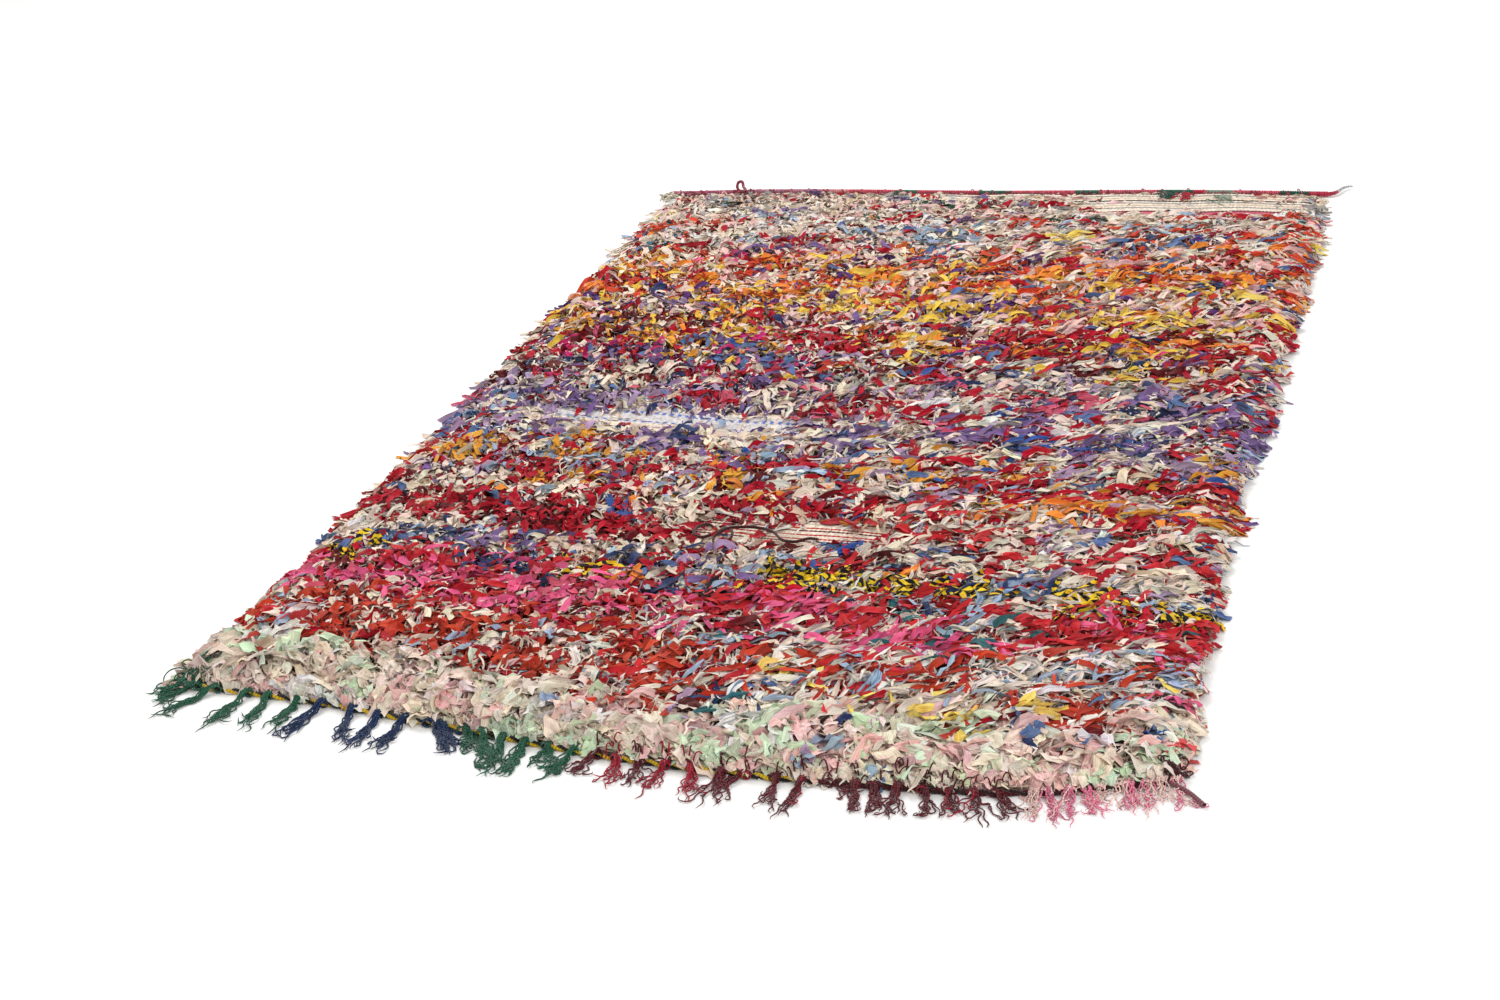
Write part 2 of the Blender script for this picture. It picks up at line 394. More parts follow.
# Rags that stand out in one place. Columns: x, y, half length and half width in mm, share
# of the strips there in percent, colours
RAG_PATCHES = (
    (-660, -460, 60, 24, 85, "crimson 8 maroon 2"),
    (-520, -468, 80, 40, 90, "crimson 8 maroon 2"),
    (-395, -470, 50, 34, 88, "crimson 8 maroon 2"),
    (-300, -520, 80, 36, 90, "crimson 8 maroon 1"),
    (-215, -515, 32, 22, 80, "crimson 8"),
    (-455, -322, 45, 14, 60, "crimson 6"),
    (-377, -338, 40, 12, 60, "crimson 6"),
    (-265, -306, 60, 16, 65, "crimson 6 scarlet 1"),
    (-95, -308, 75, 14, 60, "crimson 6 maroon 1"),
    (-125, -387, 50, 18, 60, "crimson 5"),
    (95, -428, 90, 18, 60, "scarlet 3 crimson 5"),
    (140, -508, 90, 12, 60, "crimson 5 scarlet 2"),
    (-440, -260, 30, 14, 75, "ochre 5"),
    (-121, -346, 28, 13, 90, "ochre 4 yellow 2"),
    (-208, -354, 32, 12, 60, "light_blue 4 white 2"),
    (-21, -314, 30, 16, 60, "light_blue 3 white 2 grey 1"),
    (-303, -222, 60, 14, 60, "lilac 5 purple 2"),
    (-486, -52, 50, 20, 65, "purple 5 lilac 2"),
    (-585, -86, 30, 14, 70, "lilac 4 purple 2"),
    (-424, -92, 14, 12, 85, "blue 4 navy 1"),
    (-144, -238, 22, 12, 90, "blue 3 denim 3"),
    (-69, -240, 90, 12, 60, "cream 6 white 1"),
    (108, -447, 18, 8, 80, "blue 3"),
    (126, -620, 30, 16, 80, "scarlet 4 crimson 1"),
    (-460, -582, 50, 16, 70, "purple 6 lilac 2"),
    (-620, -355, 16, 26, 80, "purple 4 lilac 1"),
    (-580, -575, 34, 20, 80, "light_blue 5 navy 3"),
    (-260, -455, 30, 10, 80, "blue 5 denim 2"),
    (-600, -248, 40, 16, 70, "ochre 6 cream 2"),
    (-710, -335, 20, 22, 80, "ochre 5 orange 2"),
    (-300, -265, 26, 16, 75, "ochre 5"),
    (-160, -655, 28, 14, 90, "orange 5"),
    (530, -402, 190, 18, 42, "orange 3 ochre 5"),
    (640, -310, 40, 16, 80, "scarlet 5 crimson 3"),
    (580, -458, 100, 20, 40, "scarlet 5 crimson 4"),
    (560, -550, 90, 14, 60, "scarlet 5 crimson 4"),
    (-630, -640, 32, 14, 90, "zigzag 5"),
    (-240, -660, 55, 16, 85, "zigzag 5 cream 1"),
    (85, -655, 68, 21, 95, "zigzag 9 scarlet 1"),
    (225, -672, 42, 18, 92, "zigzag 7 cream 1"),
    (315, -668, 45, 22, 90, "zigzag 5 navy 3"),
    (385, -655, 28, 26, 85, "light_blue 5 navy 3 sky 2"),
    (490, -672, 45, 17, 90, "zigzag 5 navy 2"),
    (605, -688, 48, 16, 92, "zigzag 6 light_blue 1"),
    (670, -670, 26, 15, 90, "zigzag 5"),
    (-600, -715, 110, 28, 50, "hot_pink 5 rose 3"),
    (-300, -755, 110, 24, 48, "hot_pink 5 rose 2"),
    (70, -735, 130, 24, 60, "hot_pink 5 scarlet 4"),
    (280, -825, 100, 18, 70, "hot_pink 6"),
    (450, -760, 120, 20, 60, "scarlet 6"),
    (330, -770, 100, 18, 60, "teal 3 light_blue 4 cream 5"),
    (252, -986, 18, 9, 80, "butter 5"),
    (342, -1004, 14, 8, 80, "butter 5"),
    (390, -994, 22, 9, 80, "butter 5"),
    (425, -1014, 14, 8, 80, "butter 5"),
    (474, -969, 26, 10, 85, "butter 5"),
    (562, -1000, 14, 7, 80, "butter 5"),
    (262, -1028, 16, 8, 75, "navy 3 denim 2"),
    (380, -1020, 18, 8, 75, "denim 3 navy 2"),
    (505, -1008, 28, 8, 75, "navy 3 denim 2 violet 1"),
    (552, -1020, 14, 6, 75, "maroon 3 violet 1"),
    (603, -1006, 16, 7, 75, "denim 3 navy 1"),
    (648, -990, 18, 8, 80, "blue 2 denim 2 navy 1"),
    (80, -1008, 18, 8, 75, "teal 3 navy 2"),
    (22, -1014, 18, 10, 70, "maroon 3 lilac 2 orange_red 2"),
    (54, -1036, 20, 8, 60, "orange_red 3 lilac 2"),
    (200, -165, 55, 18, 75, "lilac 4 purple 5"),
    (310, -176, 35, 12, 80, "blue 5 navy 2"),
    (-120, -117, 120, 14, 60, "purple 5 lilac 3"),
    (-410, 120, 22, 12, 90, "magenta 5"),
    (-290, 135, 16, 14, 80, "magenta 5"),
    (-580, 38, 16, 14, 80, "magenta 5"),
    (-580, 270, 30, 22, 70, "ochre 5"),
    (420, 183, 140, 15, 50, "yellow 6 butter 1"),
    (430, 455, 120, 12, 45, "yellow 6 butter 2"),
    (390, 328, 110, 24, 40, "yellow 6 butter 2"),
    (400, 705, 90, 13, 60, "denim 6 navy 1"),
    (-100, 775, 180, 10, 50, "light_blue 5 denim 3"),
    (40, 938, 30, 14, 80, "crimson 5 maroon 1"),
    (140, 940, 30, 14, 80, "crimson 5 scarlet 1"),
    (560, 940, 30, 16, 85, "crimson 4 maroon 2 violet 1"),
    (-90, 955, 35, 12, 60, "purple 3 dark_green 2"),
    (-400, 900, 70, 10, 55, "purple 4 grey 2"),
    (-540, 805, 60, 12, 70, "orange_red 6"),
    (-640, 780, 30, 40, 55, "orange_red 4 orange 2"),
    (-310, 700, 40, 14, 70, "crimson 6"),
    (-280, 290, 50, 18, 70, "crimson 5 maroon 3"),
    (-60, 195, 40, 16, 70, "crimson 6 scarlet 2"),
    (230, 240, 60, 22, 75, "crimson 6 scarlet 3"),
    (380, 242, 50, 16, 70, "scarlet 5 crimson 3"),
    (450, 485, 22, 24, 80, "orange_red 5"),
    (560, 515, 20, 14, 85, "hot_pink 5 magenta 2"),
    (490, 156, 24, 14, 80, "magenta 5"),
    (-410, 608, 30, 16, 75, "hot_pink 4 magenta 2"),
    (-100, 376, 90, 14, 60, "yellow 5 butter 4"),
    (-350, 365, 80, 10, 50, "yellow 5 orange 1"),
    (70, 363, 70, 12, 60, "yellow 5"),
    (-80, 530, 40, 20, 60, "yellow 4 orange 3"),
    (660, 810, 50, 16, 70, "orange_red 5 crimson 2"),
    (660, 700, 50, 50, 50, "orange_red 4 orange 2 blush 2"),
    (680, 420, 30, 14, 85, "violet 4 blue 2"),
    (680, 350, 30, 16, 85, "yellow 5"),
    (690, 192, 35, 12, 90, "sky 4 denim 3"),
    (660, 125, 50, 16, 70, "crimson 4 rose 3"),
    (690, -1010, 24, 18, 90, "coral 5 crimson 1 blush 1"),
    (660, -905, 40, 12, 80, "hot_pink 4 rose 2"),
    (670, -870, 30, 10, 80, "rust 4 orange_red 2"),
    (650, -780, 50, 22, 80, "hot_pink 3 scarlet 4"),
    (670, -700, 30, 20, 80, "scarlet 5 crimson 2"),
    (70, -1092, 16, 10, 50, "lilac 2 light_blue 3 cream 2"),
    (-120, -1034, 14, 10, 50, "lilac 2 light_blue 3 cream 2"),
    (230, -1082, 14, 9, 60, "lilac 2 light_blue 3"),
    (345, -1095, 16, 9, 60, "denim 3 light_blue 3"),
    (-650, -525, 50, 14, 75, "cream 5 white 1"),
    (-660, -768, 35, 16, 60, "cream 3 light_blue 3 lilac 1"),
    (-640, -882, 30, 12, 60, "light_blue 3 white 2 navy 1"),
    (-550, -765, 30, 14, 70, "cream 5"),
    (-390, -812, 40, 14, 65, "cream 5 white 1"),
    (-530, -876, 50, 14, 70, "rust 4 orange_red 3"),
    (-680, -900, 30, 16, 70, "mint 5 cream 1"),
    (-600, -949, 30, 14, 70, "mint 5"),
    (-550, -915, 32, 12, 65, "mint 3 blush 2"),
    (-650, 873, 35, 26, 60, "cream 5 butter 1"),
    (-570, 730, 60, 18, 60, "cream 5 white 1"),
    (-600, 630, 30, 12, 70, "teal 3 dark_green 2"),
    (-620, 550, 35, 18, 60, "yellow 5 orange 2"),
    (-460, 496, 40, 18, 65, "crimson 4 orange_red 2"),
    (-410, 525, 50, 14, 60, "cream 4 white 2 blush 2"),
    (-150, 417, 70, 14, 60, "cream 4 butter 3"),
    (-260, 346, 50, 12, 65, "yellow 5"),
    (-500, 426, 30, 16, 70, "violet 3 navy 2"),
    (-270, 175, 30, 14, 75, "blue 3 denim 3"),
    (-340, 196, 30, 12, 70, "denim 4"),
    (-560, 127, 25, 12, 80, "magenta 4 crimson 1"),
    (-440, 26, 60, 18, 70, "cream 6 white 1"),
    (-130, -53, 70, 12, 65, "cream 6 white 1"),
    (70, 777, 50, 30, 60, "cream 5 white 4"),
    (490, 732, 40, 12, 75, "violet 3 blue 2"),
    (420, 658, 60, 14, 60, "cream 4 blush 4"),
    (180, 610, 20, 12, 80, "violet 3 purple 2"),
    (140, 478, 50, 12, 65, "crimson 4 scarlet 2"),
    (620, 515, 26, 14, 80, "blue 4 denim 2"),
    (320, 367, 24, 14, 80, "violet 3 purple 2"),
    (170, 186, 26, 14, 80, "purple 4 violet 1"),
    (520, 131, 35, 14, 75, "purple 4 violet 2"),
    (620, 300, 60, 18, 60, "cream 4 blush 2 white 1"),
    (400, 159, 22, 12, 80, "blue 3 sky 2"),
    (-170, -440, 60, 20, 70, "cream 6 beige 1"),
    (-480, -395, 70, 12, 70, "cream 6 light_blue 1"),
    (-310, -585, 60, 16, 70, "cream 6 beige 1"),
    (-300, 800, 100, 18, 60, "cream 5 white 4"),
    (-500, 945, 100, 12, 50, "grey 3 dark_green 1 charcoal 1"),
    (250, 860, 100, 18, 60, "cream 5 white 4"),
    (-50, 905, 80, 12, 50, "grey 3 blush 2 purple 2"),
)

# Strip sizes up the rug. Columns: v, length left, width left, length right, width right
STRIP_SIZES = np.array((
    (0.00, 0.050, 0.019, 0.052, 0.020), (0.045, 0.048, 0.018, 0.054, 0.019),
    (0.07, 0.042, 0.012, 0.060, 0.0092), (0.12, 0.040, 0.011, 0.066, 0.0085),
    (0.17, 0.042, 0.0115, 0.052, 0.0110), (0.24, 0.039, 0.0108, 0.052, 0.0100),
    (0.32, 0.040, 0.0115, 0.054, 0.0098), (0.45, 0.039, 0.0106, 0.054, 0.0096),
    (0.60, 0.037, 0.0105, 0.050, 0.0100), (0.75, 0.040, 0.0105, 0.050, 0.0100),
    (0.86, 0.042, 0.009, 0.050, 0.0095), (0.94, 0.034, 0.008, 0.040, 0.0085),
    (1.00, 0.026, 0.007, 0.030, 0.0075),
))
COLOUR_NAMES = list(PILE_COLOURS)
COLOUR_VALUES = linear(list(PILE_COLOURS.values()))

# Grid on which the CAD pile's top is read: step, first corner, number of places
HEIGHT_STEP = 0.006
HEIGHT_FROM = np.array([-0.80, -1.20])
HEIGHT_CELLS = (268, 401)
ABOVE_PILE = 0.2


def read_pile_heights():
    """Top of the CAD pile on a grid, found by looking straight down on it."""
    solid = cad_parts["pile"].data
    corners, faces = [p.co for p in solid.vertices], [p.vertices for p in solid.polygons]
    tree = BVHTree.FromPolygons(corners, faces)
    heights = np.zeros(HEIGHT_CELLS)
    down = Vector((0, 0, -1))
    for i in range(HEIGHT_CELLS[0]):
        for j in range(HEIGHT_CELLS[1]):
            start = HEIGHT_FROM + HEIGHT_STEP * np.array([i, j])
            hit = tree.ray_cast(Vector((start[0], start[1], ABOVE_PILE)), down)[0]
            if hit is not None:
                heights[i, j] = hit.z
    return heights


PILE_HEIGHTS = read_pile_heights()


def pile_height(x, y):
    """Height of the pile's top over a place: the four grid heights round it, weighed by
    how near they are."""
    across = (x - MIDDLE[0] - HEIGHT_FROM[0]) / HEIGHT_STEP
    along = (y - MIDDLE[1] - HEIGHT_FROM[1]) / HEIGHT_STEP
    i = np.clip(across.astype(int), 0, HEIGHT_CELLS[0] - 2)
    j = np.clip(along.astype(int), 0, HEIGHT_CELLS[1] - 2)
    s, t = np.clip(across - i, 0, 1), np.clip(along - j, 0, 1)
    return (
        PILE_HEIGHTS[i, j] * (1 - s) * (1 - t) + PILE_HEIGHTS[i + 1, j] * s * (1 - t)
        + PILE_HEIGHTS[i, j + 1] * (1 - s) * t + PILE_HEIGHTS[i + 1, j + 1] * s * t
    )


def shares(words):
    """Colour numbers and their summed shares from words such as 'cream 30 mint 22'."""
    parts = words.split()
    numbers = np.array([COLOUR_NAMES.index(p) for p in parts[::2]])
    weights = np.cumsum([float(p) for p in parts[1::2]])
    return numbers, weights / weights[-1]


def pick(words, chance):
    """A colour number for each chance from 0 to 1."""
    numbers, summed = shares(words)
    return numbers[np.minimum(np.searchsorted(summed, chance), len(numbers) - 1)]


# Strays from a run's colour, where the left words give way to the right ones, how far the
# bands' edges stray and wave in v, and the half length from which a patch has full strips
STRAY_SHARE = 0.22
LEFT_TO_RIGHT = (-0.30, 0.35)
EDGE_STRAY = ((0.04, 0.09), (0.0025, 0.006))
EDGE_WAVE = 0.006
FULL_PATCH, SMALLEST_STRIPS = 0.030, 0.70


def choose_colours(x, y, v, run, rng):
    """Colour number of each knot: one for each run of a row, from its band's words, the
    left ones giving way to the right ones across the rug; a few strays; then the patches.
    Returned with the size of a patch's strips, 0 outside the patches."""
    runs = run.max() + 1
    run_chance, run_side = rng.random(runs), rng.random(runs)
    stray = rng.random(len(x)) < STRAY_SHARE
    chance = np.where(stray, rng.random(len(x)), run_chance[run])
    right = np.where(stray, rng.random(len(x)), run_side[run]) < ease(*LEFT_TO_RIGHT, x)
    shifted = v + rng.normal(0, 1, len(x)) * np.interp(v, *EDGE_STRAY)
    shifted = shifted + EDGE_WAVE * np.sin(x * 9.0 + v * 40.0)
    colour = np.zeros(len(x), int)
    start = -1.0
    for end, left_words, right_words in COLOUR_BANDS:
        here = (shifted >= start) & (shifted < end)
        colour[here & ~right] = pick(left_words, chance[here & ~right])
        colour[here & right] = pick(right_words, chance[here & right])
        start = end
    colour[shifted >= start] = pick(COLOUR_BANDS[-1][1], chance[shifted >= start])
    patched = np.zeros(len(x))
    for *numbers, percent, words in RAG_PATCHES:
        cx, cy, half_long, half_wide = [number / 1000 for number in numbers]
        away = np.hypot((x - cx) / half_long, (y - cy) / half_wide)
        here = (away < rng.uniform(0.75, 1.25, len(x))) & (rng.random(len(x)) < percent / 100)
        colour[here] = pick(words, rng.random(here.sum()))
        patched[here] = np.clip(half_long / FULL_PATCH, SMALLEST_STRIPS, 1.0)
    return colour, patched


# Thin yarns between the strips. Columns: where the band ends, colours
YARN_BANDS = (
    (0.06, "cream 60 white 20 beige 8 blush 8 maroon 4"),
    (0.20, "cream 62 white 12 beige 10 blush 4 rust 8 light_blue 4"),
    (0.34, "cream 66 white 8 beige 12 crimson 6 brown 4 lilac 2 maroon 2"),
    (0.55, "cream 58 white 8 beige 12 lilac 7 crimson 5 purple 4 light_blue 4 brown 2"),
    (0.70, "cream 46 blush 12 beige 12 yellow 6 crimson 8 lilac 5 maroon 6 teal 3"),
    (0.82, "cream 40 blush 22 beige 10 orange 12 orange_red 8 violet 4 yellow 4"),
    (1.01, "cream 62 white 12 beige 10 blush 8 light_blue 4 brown 4"),
)


def choose_yarns(x, v, rng):
    """Colour number of each thin yarn, from the words of its band."""
    chance, colour, start = rng.random(len(x)), np.zeros(len(x), int), -1.0
    for end, words in YARN_BANDS:
        here = (v >= start) & (v < end)
        colour[here] = pick(words, chance[here])
        start = end
    return colour


# Stray of a knot from its row, in rows, and the gamma shape and scale of a run's length
ROW_STRAY = 0.22
RUN_SHAPE, RUN_SCALE, RUNS_A_ROW = 2.2, 0.024, 80


def knot_rows(start, end, spacing, rng):
    """Places of the knots between two shares of the length: rows of even spacing with a
    little stray, each row cut into runs of one rag."""
    rows = np.arange(math.ceil(start * ROWS - 0.5), math.ceil(end * ROWS - 0.5))
    along, across, run, first = [], [], [], 0
    for row in rows:
        count = int(KNOTTED_WIDTH / spacing)
        spot = (np.arange(count) + rng.uniform(-0.4, 1.4, count)) / count
        across.append(np.clip(spot, 0.004, 0.996))
        along.append((row + 0.5 + rng.normal(0, ROW_STRAY, count)) / ROWS)
        edges = np.cumsum(rng.gamma(RUN_SHAPE, RUN_SCALE, RUNS_A_ROW)) / KNOTTED_WIDTH
        run.append(first + np.searchsorted(edges, spot))
        first = run[-1].max() + 1
    across, along = np.concatenate(across), np.clip(np.concatenate(along), 0.003, 0.994)
    return across, along, np.concatenate(run)


def each(values):
    """One value for each strip or yarn as a column, which spreads over its steps."""
    return np.asarray(values)[:, None]


# How a strip runs. Bend, roll and twist are in radians, waves in rounds over its length,
# the rises in metres, and the rest are shares of its half width
STRIP_BEND, STRIP_ROLL, STRIP_TWIST = 0.55, 0.50, 0.75
STRIP_WAVES = (0.7, 1.6)
KNOT_LEVEL, RISE_RATE, LEAST_LEVEL = 0.004, 7.0, 0.0012
FIRST_STRIDES = (0.0, 0.55, 1.0)
EDGE_RAGGED, FACE_CREASED, TIP_SKEWED = 0.17, 0.22, 0.35
FOLD_DEPTHS = (0.10, 0.34)


def rag_ribbons(x, y, heading, length, width, level, crumple, wiggle, steps, points, rng):
    """Strips of cloth as grids, (strip, step, point), and their UVs in metres. The centre
    line leaves the weave, rises within a sixth of its length to its own share of the
    pile's height, and runs on along a heading that bends and wiggles; each cross-section
    turns about that line and is folded to and fro across, narrow at the knot and cut on
    the skew at the tip."""
    n = len(x)
    s, c = np.linspace(0, 1, steps)[None, :], np.linspace(-1, 1, points)
    bend, phase = rng.normal(0, STRIP_BEND, n), rng.uniform(0, 2 * np.pi, (4, n))
    rounds = 2 * np.pi * each(rng.uniform(*STRIP_WAVES, n))
    angle = each(heading) + each(bend) * (s - 0.3)
    angle = angle + each(wiggle) * np.sin(rounds * s + each(phase[0]))
    stride = each(length) / (steps - 1)
    tucked = np.interp(np.arange(steps), (0, 1, 2), FIRST_STRIDES)[None, :]
    px = each(x) + np.cumsum(np.cos(angle) * stride * tucked, 1)
    py = each(y) + np.cumsum(np.sin(angle) * stride * tucked, 1)
    rise = 1 - np.exp(-s * RISE_RATE)
    top = pile_height(px, py)
    lift = 0.35 * np.sin(np.pi * s) + 0.30 * np.sin(rounds * s + each(phase[1]))
    lift = each(crumple) * lift * (top > KNOT_LEVEL)
    pz = KNOT_LEVEL * (1 - rise) + rise * (top * each(level)) + lift
    turn = each(rng.normal(0, STRIP_ROLL, n))
    turn = turn + each(rng.normal(0, STRIP_TWIST, n)) * (s - 0.3)
    turn = turn + 0.35 * np.sin(rounds * s + each(phase[2]))
    ragged = rng.normal(0, EDGE_RAGGED, (n, steps, points))
    crease = rng.normal(0, FACE_CREASED, (n, steps, points))
    open_width = (0.55 + 0.45 * ease(0, 0.35, s)) * (1 - 0.18 * ease(0.7, 1.0, s))
    half = each(width) * 0.5 * open_width
    deeper = 0.55 + 0.45 * np.cos(rounds * 0.8 * s + each(phase[3]))
    depth = each(rng.uniform(*FOLD_DEPTHS, n)) * half * deeper
    skew = each(rng.normal(0, TIP_SKEWED, n)) * half * ease(0.7, 1.0, s)
    fold = np.where(np.arange(points) % 2 == 0, 1.0, -1.0) if points > 2 else np.zeros(points)
    cos_a, sin_a, cos_t, sin_t = np.cos(angle), np.sin(angle), np.cos(turn), np.sin(turn)
    side = np.stack([-sin_a * cos_t, cos_a * cos_t, sin_t], -1)
    face = np.stack([sin_a * sin_t, -cos_a * sin_t, cos_t], -1)
    ahead = np.stack([cos_a, sin_a, 0 * angle], -1)
    centre = np.stack([px, py, pz], -1)
    grid = (
        centre[:, :, None, :]
        + side[:, :, None, :] * (half[:, :, None] * (c + ragged))[..., None]
        + face[:, :, None, :] * (depth[:, :, None] * fold + half[:, :, None] * crease)[..., None]
        + ahead[:, :, None, :] * (skew[:, :, None] * c)[..., None]
    )
    grid[..., 2] = np.maximum(grid[..., 2], LEAST_LEVEL)
    along = each(length) * s + 0 * half
    strip_uv = np.stack([half[:, :, None] * c, along[:, :, None] + 0 * c], -1)
    return grid, strip_uv + rng.uniform(0, 3.0, (n, 1, 1, 2))


# Headings of strips in degrees, mean and spread: from +X, but from -X at the left side
LOOSE_LIE, NEAR_LIE = (-40, 75), (-80, 55)
LEFT_LIE, RIGHT_LIE = (5, 35), (2, 22)
RUN_SWAY, STRIP_SWAY = 18, 22
# Slope of the strips of the right half. Rows: v, degrees up from +X
SWEPT_SLOPES = (
    (0.05, 0.14, 0.22, 0.34, 0.55, 0.75, 0.88),
    (42, 36, 24, 16, 22, 26, 8),
)


def lie_of_pile(x, v, rng, run):
    """Heading of each strip: towards the fringe along the near edge, outwards at the sides,
    up and to the right over the right half, and loose over the left half."""
    loose = np.radians(rng.normal(*LOOSE_LIE, len(x)))
    slope = np.interp(v, *SWEPT_SLOPES)
    slope = slope + rng.normal(0, RUN_SWAY, run.max() + 1)[run]
    slope = slope + rng.normal(0, STRIP_SWAY, len(x))
    swept = np.radians(slope)
    heading = np.where(rng.random(len(x)) < ease(-0.25, 0.25, x) * 0.85, swept, loose)
    near = np.radians(rng.normal(*NEAR_LIE, len(x)))
    heading = np.where(rng.random(len(x)) < 1 - ease(0.02, 0.06, v), near, heading)
    left = np.radians(180 + rng.normal(*LEFT_LIE, len(x)))
    heading = np.where(rng.random(len(x)) < 1 - ease(-0.68, -0.60, x), left, heading)
    right = np.radians(rng.normal(*RIGHT_LIE, len(x)))
    return np.where(rng.random(len(x)) < ease(0.58, 0.66, x), right, heading)


# How far strips hang over the rug's edge: at the sides from, to; at the ends the share that
# reaches far, how far, and how far the others do; and the shortest strip that is left
SIDE_REACH = (0.006, 0.042)
NEAR_REACH, FAR_REACH = (0.25, 0.012, -0.004), (0.28, 0.012, -0.002)
LEAST_REACH, SHORTEST_STRIP = 0.003, 0.012
# How far the rim's tufts reach beyond the usual. Rows: y, metres more
LEFT_TUFTS = np.array((
    (-1.05, -1.00, -0.945, -0.84, -0.785, -0.727, -0.61, -0.552, -0.493, -0.427, -0.362,
     -0.226, -0.154, -0.082, 0.072, 0.32, 0.41, 0.595, 0.692, 0.898, 1.02),
    (0.012, 0.018, 0.012, 0.022, 0.010, 0.000, 0.003, 0.010, 0.027, 0.008, 0.013,
     0.022, 0.008, 0.022, 0.018, 0.026, 0.000, 0.000, 0.026, 0.028, 0.030),
))
RIGHT_TUFTS = np.array((
    (-1.09, -0.93, -0.80, -0.661, -0.61, -0.454, -0.398, -0.341, -0.284, -0.099, -0.03,
     0.036, 0.104, 0.25, 0.486, 0.569, 0.657, 0.936),
    (-0.016, -0.012, -0.016, -0.008, -0.008, -0.012, 0.005, 0.010, -0.018, -0.010, 0.025,
     0.008, -0.008, -0.012, -0.004, -0.028, -0.008, 0.003),
))


def keep_in_reach(x, y, heading, length, run, rng):
    """Shortens a strip that would hang too far beyond the rug's edge: at the sides by one
    reach for each run of a row, so that the rim is tufted, and hardly at both ends."""
    tip_x, tip_y = x + np.cos(heading) * length, y + np.sin(heading) * length
    side = rng.uniform(*SIDE_REACH, run.max() + 1)[run]
    left = np.maximum(side + np.interp(tip_y, *LEFT_TUFTS), LEAST_REACH)
    right = np.maximum(side + np.interp(tip_y, *RIGHT_TUFTS), LEAST_REACH)
    near, far = [
        np.where(rng.random(len(x)) < share, reach, usual)
        for share, reach, usual in (NEAR_REACH, FAR_REACH)
    ]
    over = np.maximum.reduce([
        curve_through(LEFT_SIDE, tip_y) - left - tip_x,
        tip_x - curve_through(RIGHT_SIDE, tip_y) - right,
        curve_through(NEAR_EDGE, tip_x) - near - tip_y,
        tip_y - curve_through(FAR_EDGE, tip_x) - far,
        np.zeros(len(x)),
    ])
    return np.maximum(length - over * 1.15, SHORTEST_STRIP)


def bake_cells(before, count, total, steps, points):
    """Each strip's own cell of a square map, counted on from `before`, so that every strip
    is baked apart."""
    side = math.ceil(math.sqrt(total))
    spot = before + np.arange(count)
    corner = np.stack([spot % side, spot // side], -1)[:, None, None, :]
    s = np.linspace(0.08, 0.92, steps)[None, :, None]
    c = np.linspace(0.08, 0.92, points)[None, None, :]
    return ((corner + np.stack([c + 0 * s, s + 0 * c], -1)) / side).reshape(-1, 2)


def rag_material():
    """Worn cotton and jersey: each strip in its own dye, streaked by lengthwise folds,
    with a fine knit, some faded prints in slate blue and one black zigzag on yellow."""
    faded, slate_blue = (0.72, 0.66, 0.60, 1), (0.10, 0.17, 0.27, 1)
    black = (0.012, 0.011, 0.014, 1)
    cloth = Cloth("rag_cloth", 0.9, 0.08)
    strip = cloth.add("ShaderNodeUVMap", {"uv_map": "Strip"}).outputs["UV"]
    place = cloth.add("ShaderNodeTexCoord").outputs["Object"]
    folds = cloth.stretched(strip, (560.0, 26.0, 1.0))
    folds = cloth.noise(folds, scale=1.0, detail=3.0, distortion=0.4)
    red, green, blue = [cloth.spread(folds, 0.32, 0.60, low, 1.05) for low in (0.76, 0.73, 0.74)]
    shade = cloth.add("ShaderNodeCombineColor", _0=red, _1=green, _2=blue).outputs[0]
    colour = cloth.blend("MULTIPLY", 1.0, cloth.attribute("dye", "Color"), shade)
    fade = cloth.noise(place, scale=34.0, detail=3.0)
    colour = cloth.blend("MIX", cloth.spread(fade, 0.45, 0.75, 0.0, 0.06), colour, faded)
    streaks = cloth.noise(cloth.stretched(strip, (260.0, 14.0, 1.0)), scale=1.0, distortion=0.6)
    streaks = cloth.spread(streaks, 0.52, 0.60, 0, 1)
    streaks = cloth.math("MULTIPLY", streaks, cloth.attribute("streak"))
    colour = cloth.blend("MIX", streaks, colour, slate_blue)
    chevrons = cloth.waves(strip, scale=34.0, distortion=5.0, direction="DIAGONAL")
    chevrons = cloth.spread(chevrons, 0.46, 0.54, 0, 1)
    chevrons = cloth.math("MULTIPLY", chevrons, cloth.attribute("zigzag"))
    cloth.paint(cloth.blend("MIX", chevrons, colour, black))
    cloth.relief(folds, 0.0020, 0.65)
    lengthwise = cloth.waves(strip, scale=380.0, distortion=1.5, direction="X")
    crosswise = cloth.waves(strip, scale=300.0, distortion=1.0, direction="Y")
    cloth.relief(cloth.math("MULTIPLY", lengthwise, crosswise), 0.00025, 0.6)
    return cloth.material


# Share of the knots left out at the bare places, and of those at the bound end
BARE_SHARES = {"wide": 0.91, "strip": 0.91, "yarn": 0.64}
BOUND_END_SHARE = 0.35
# Sizes by chance: from, to, as shares of the usual size or in metres
LENGTH_SPREAD, LENGTH_SHARES = 0.26, (0.45, 1.7)
RUN_WIDTHS, STRIP_WIDTHS = (0.72, 1.30), (0.7, 1.25)
YARN_LENGTHS, LONGEST_YARN = (0.7, 1.3), 0.055
YARN_WIDTHS = (0.0022, 0.0046)
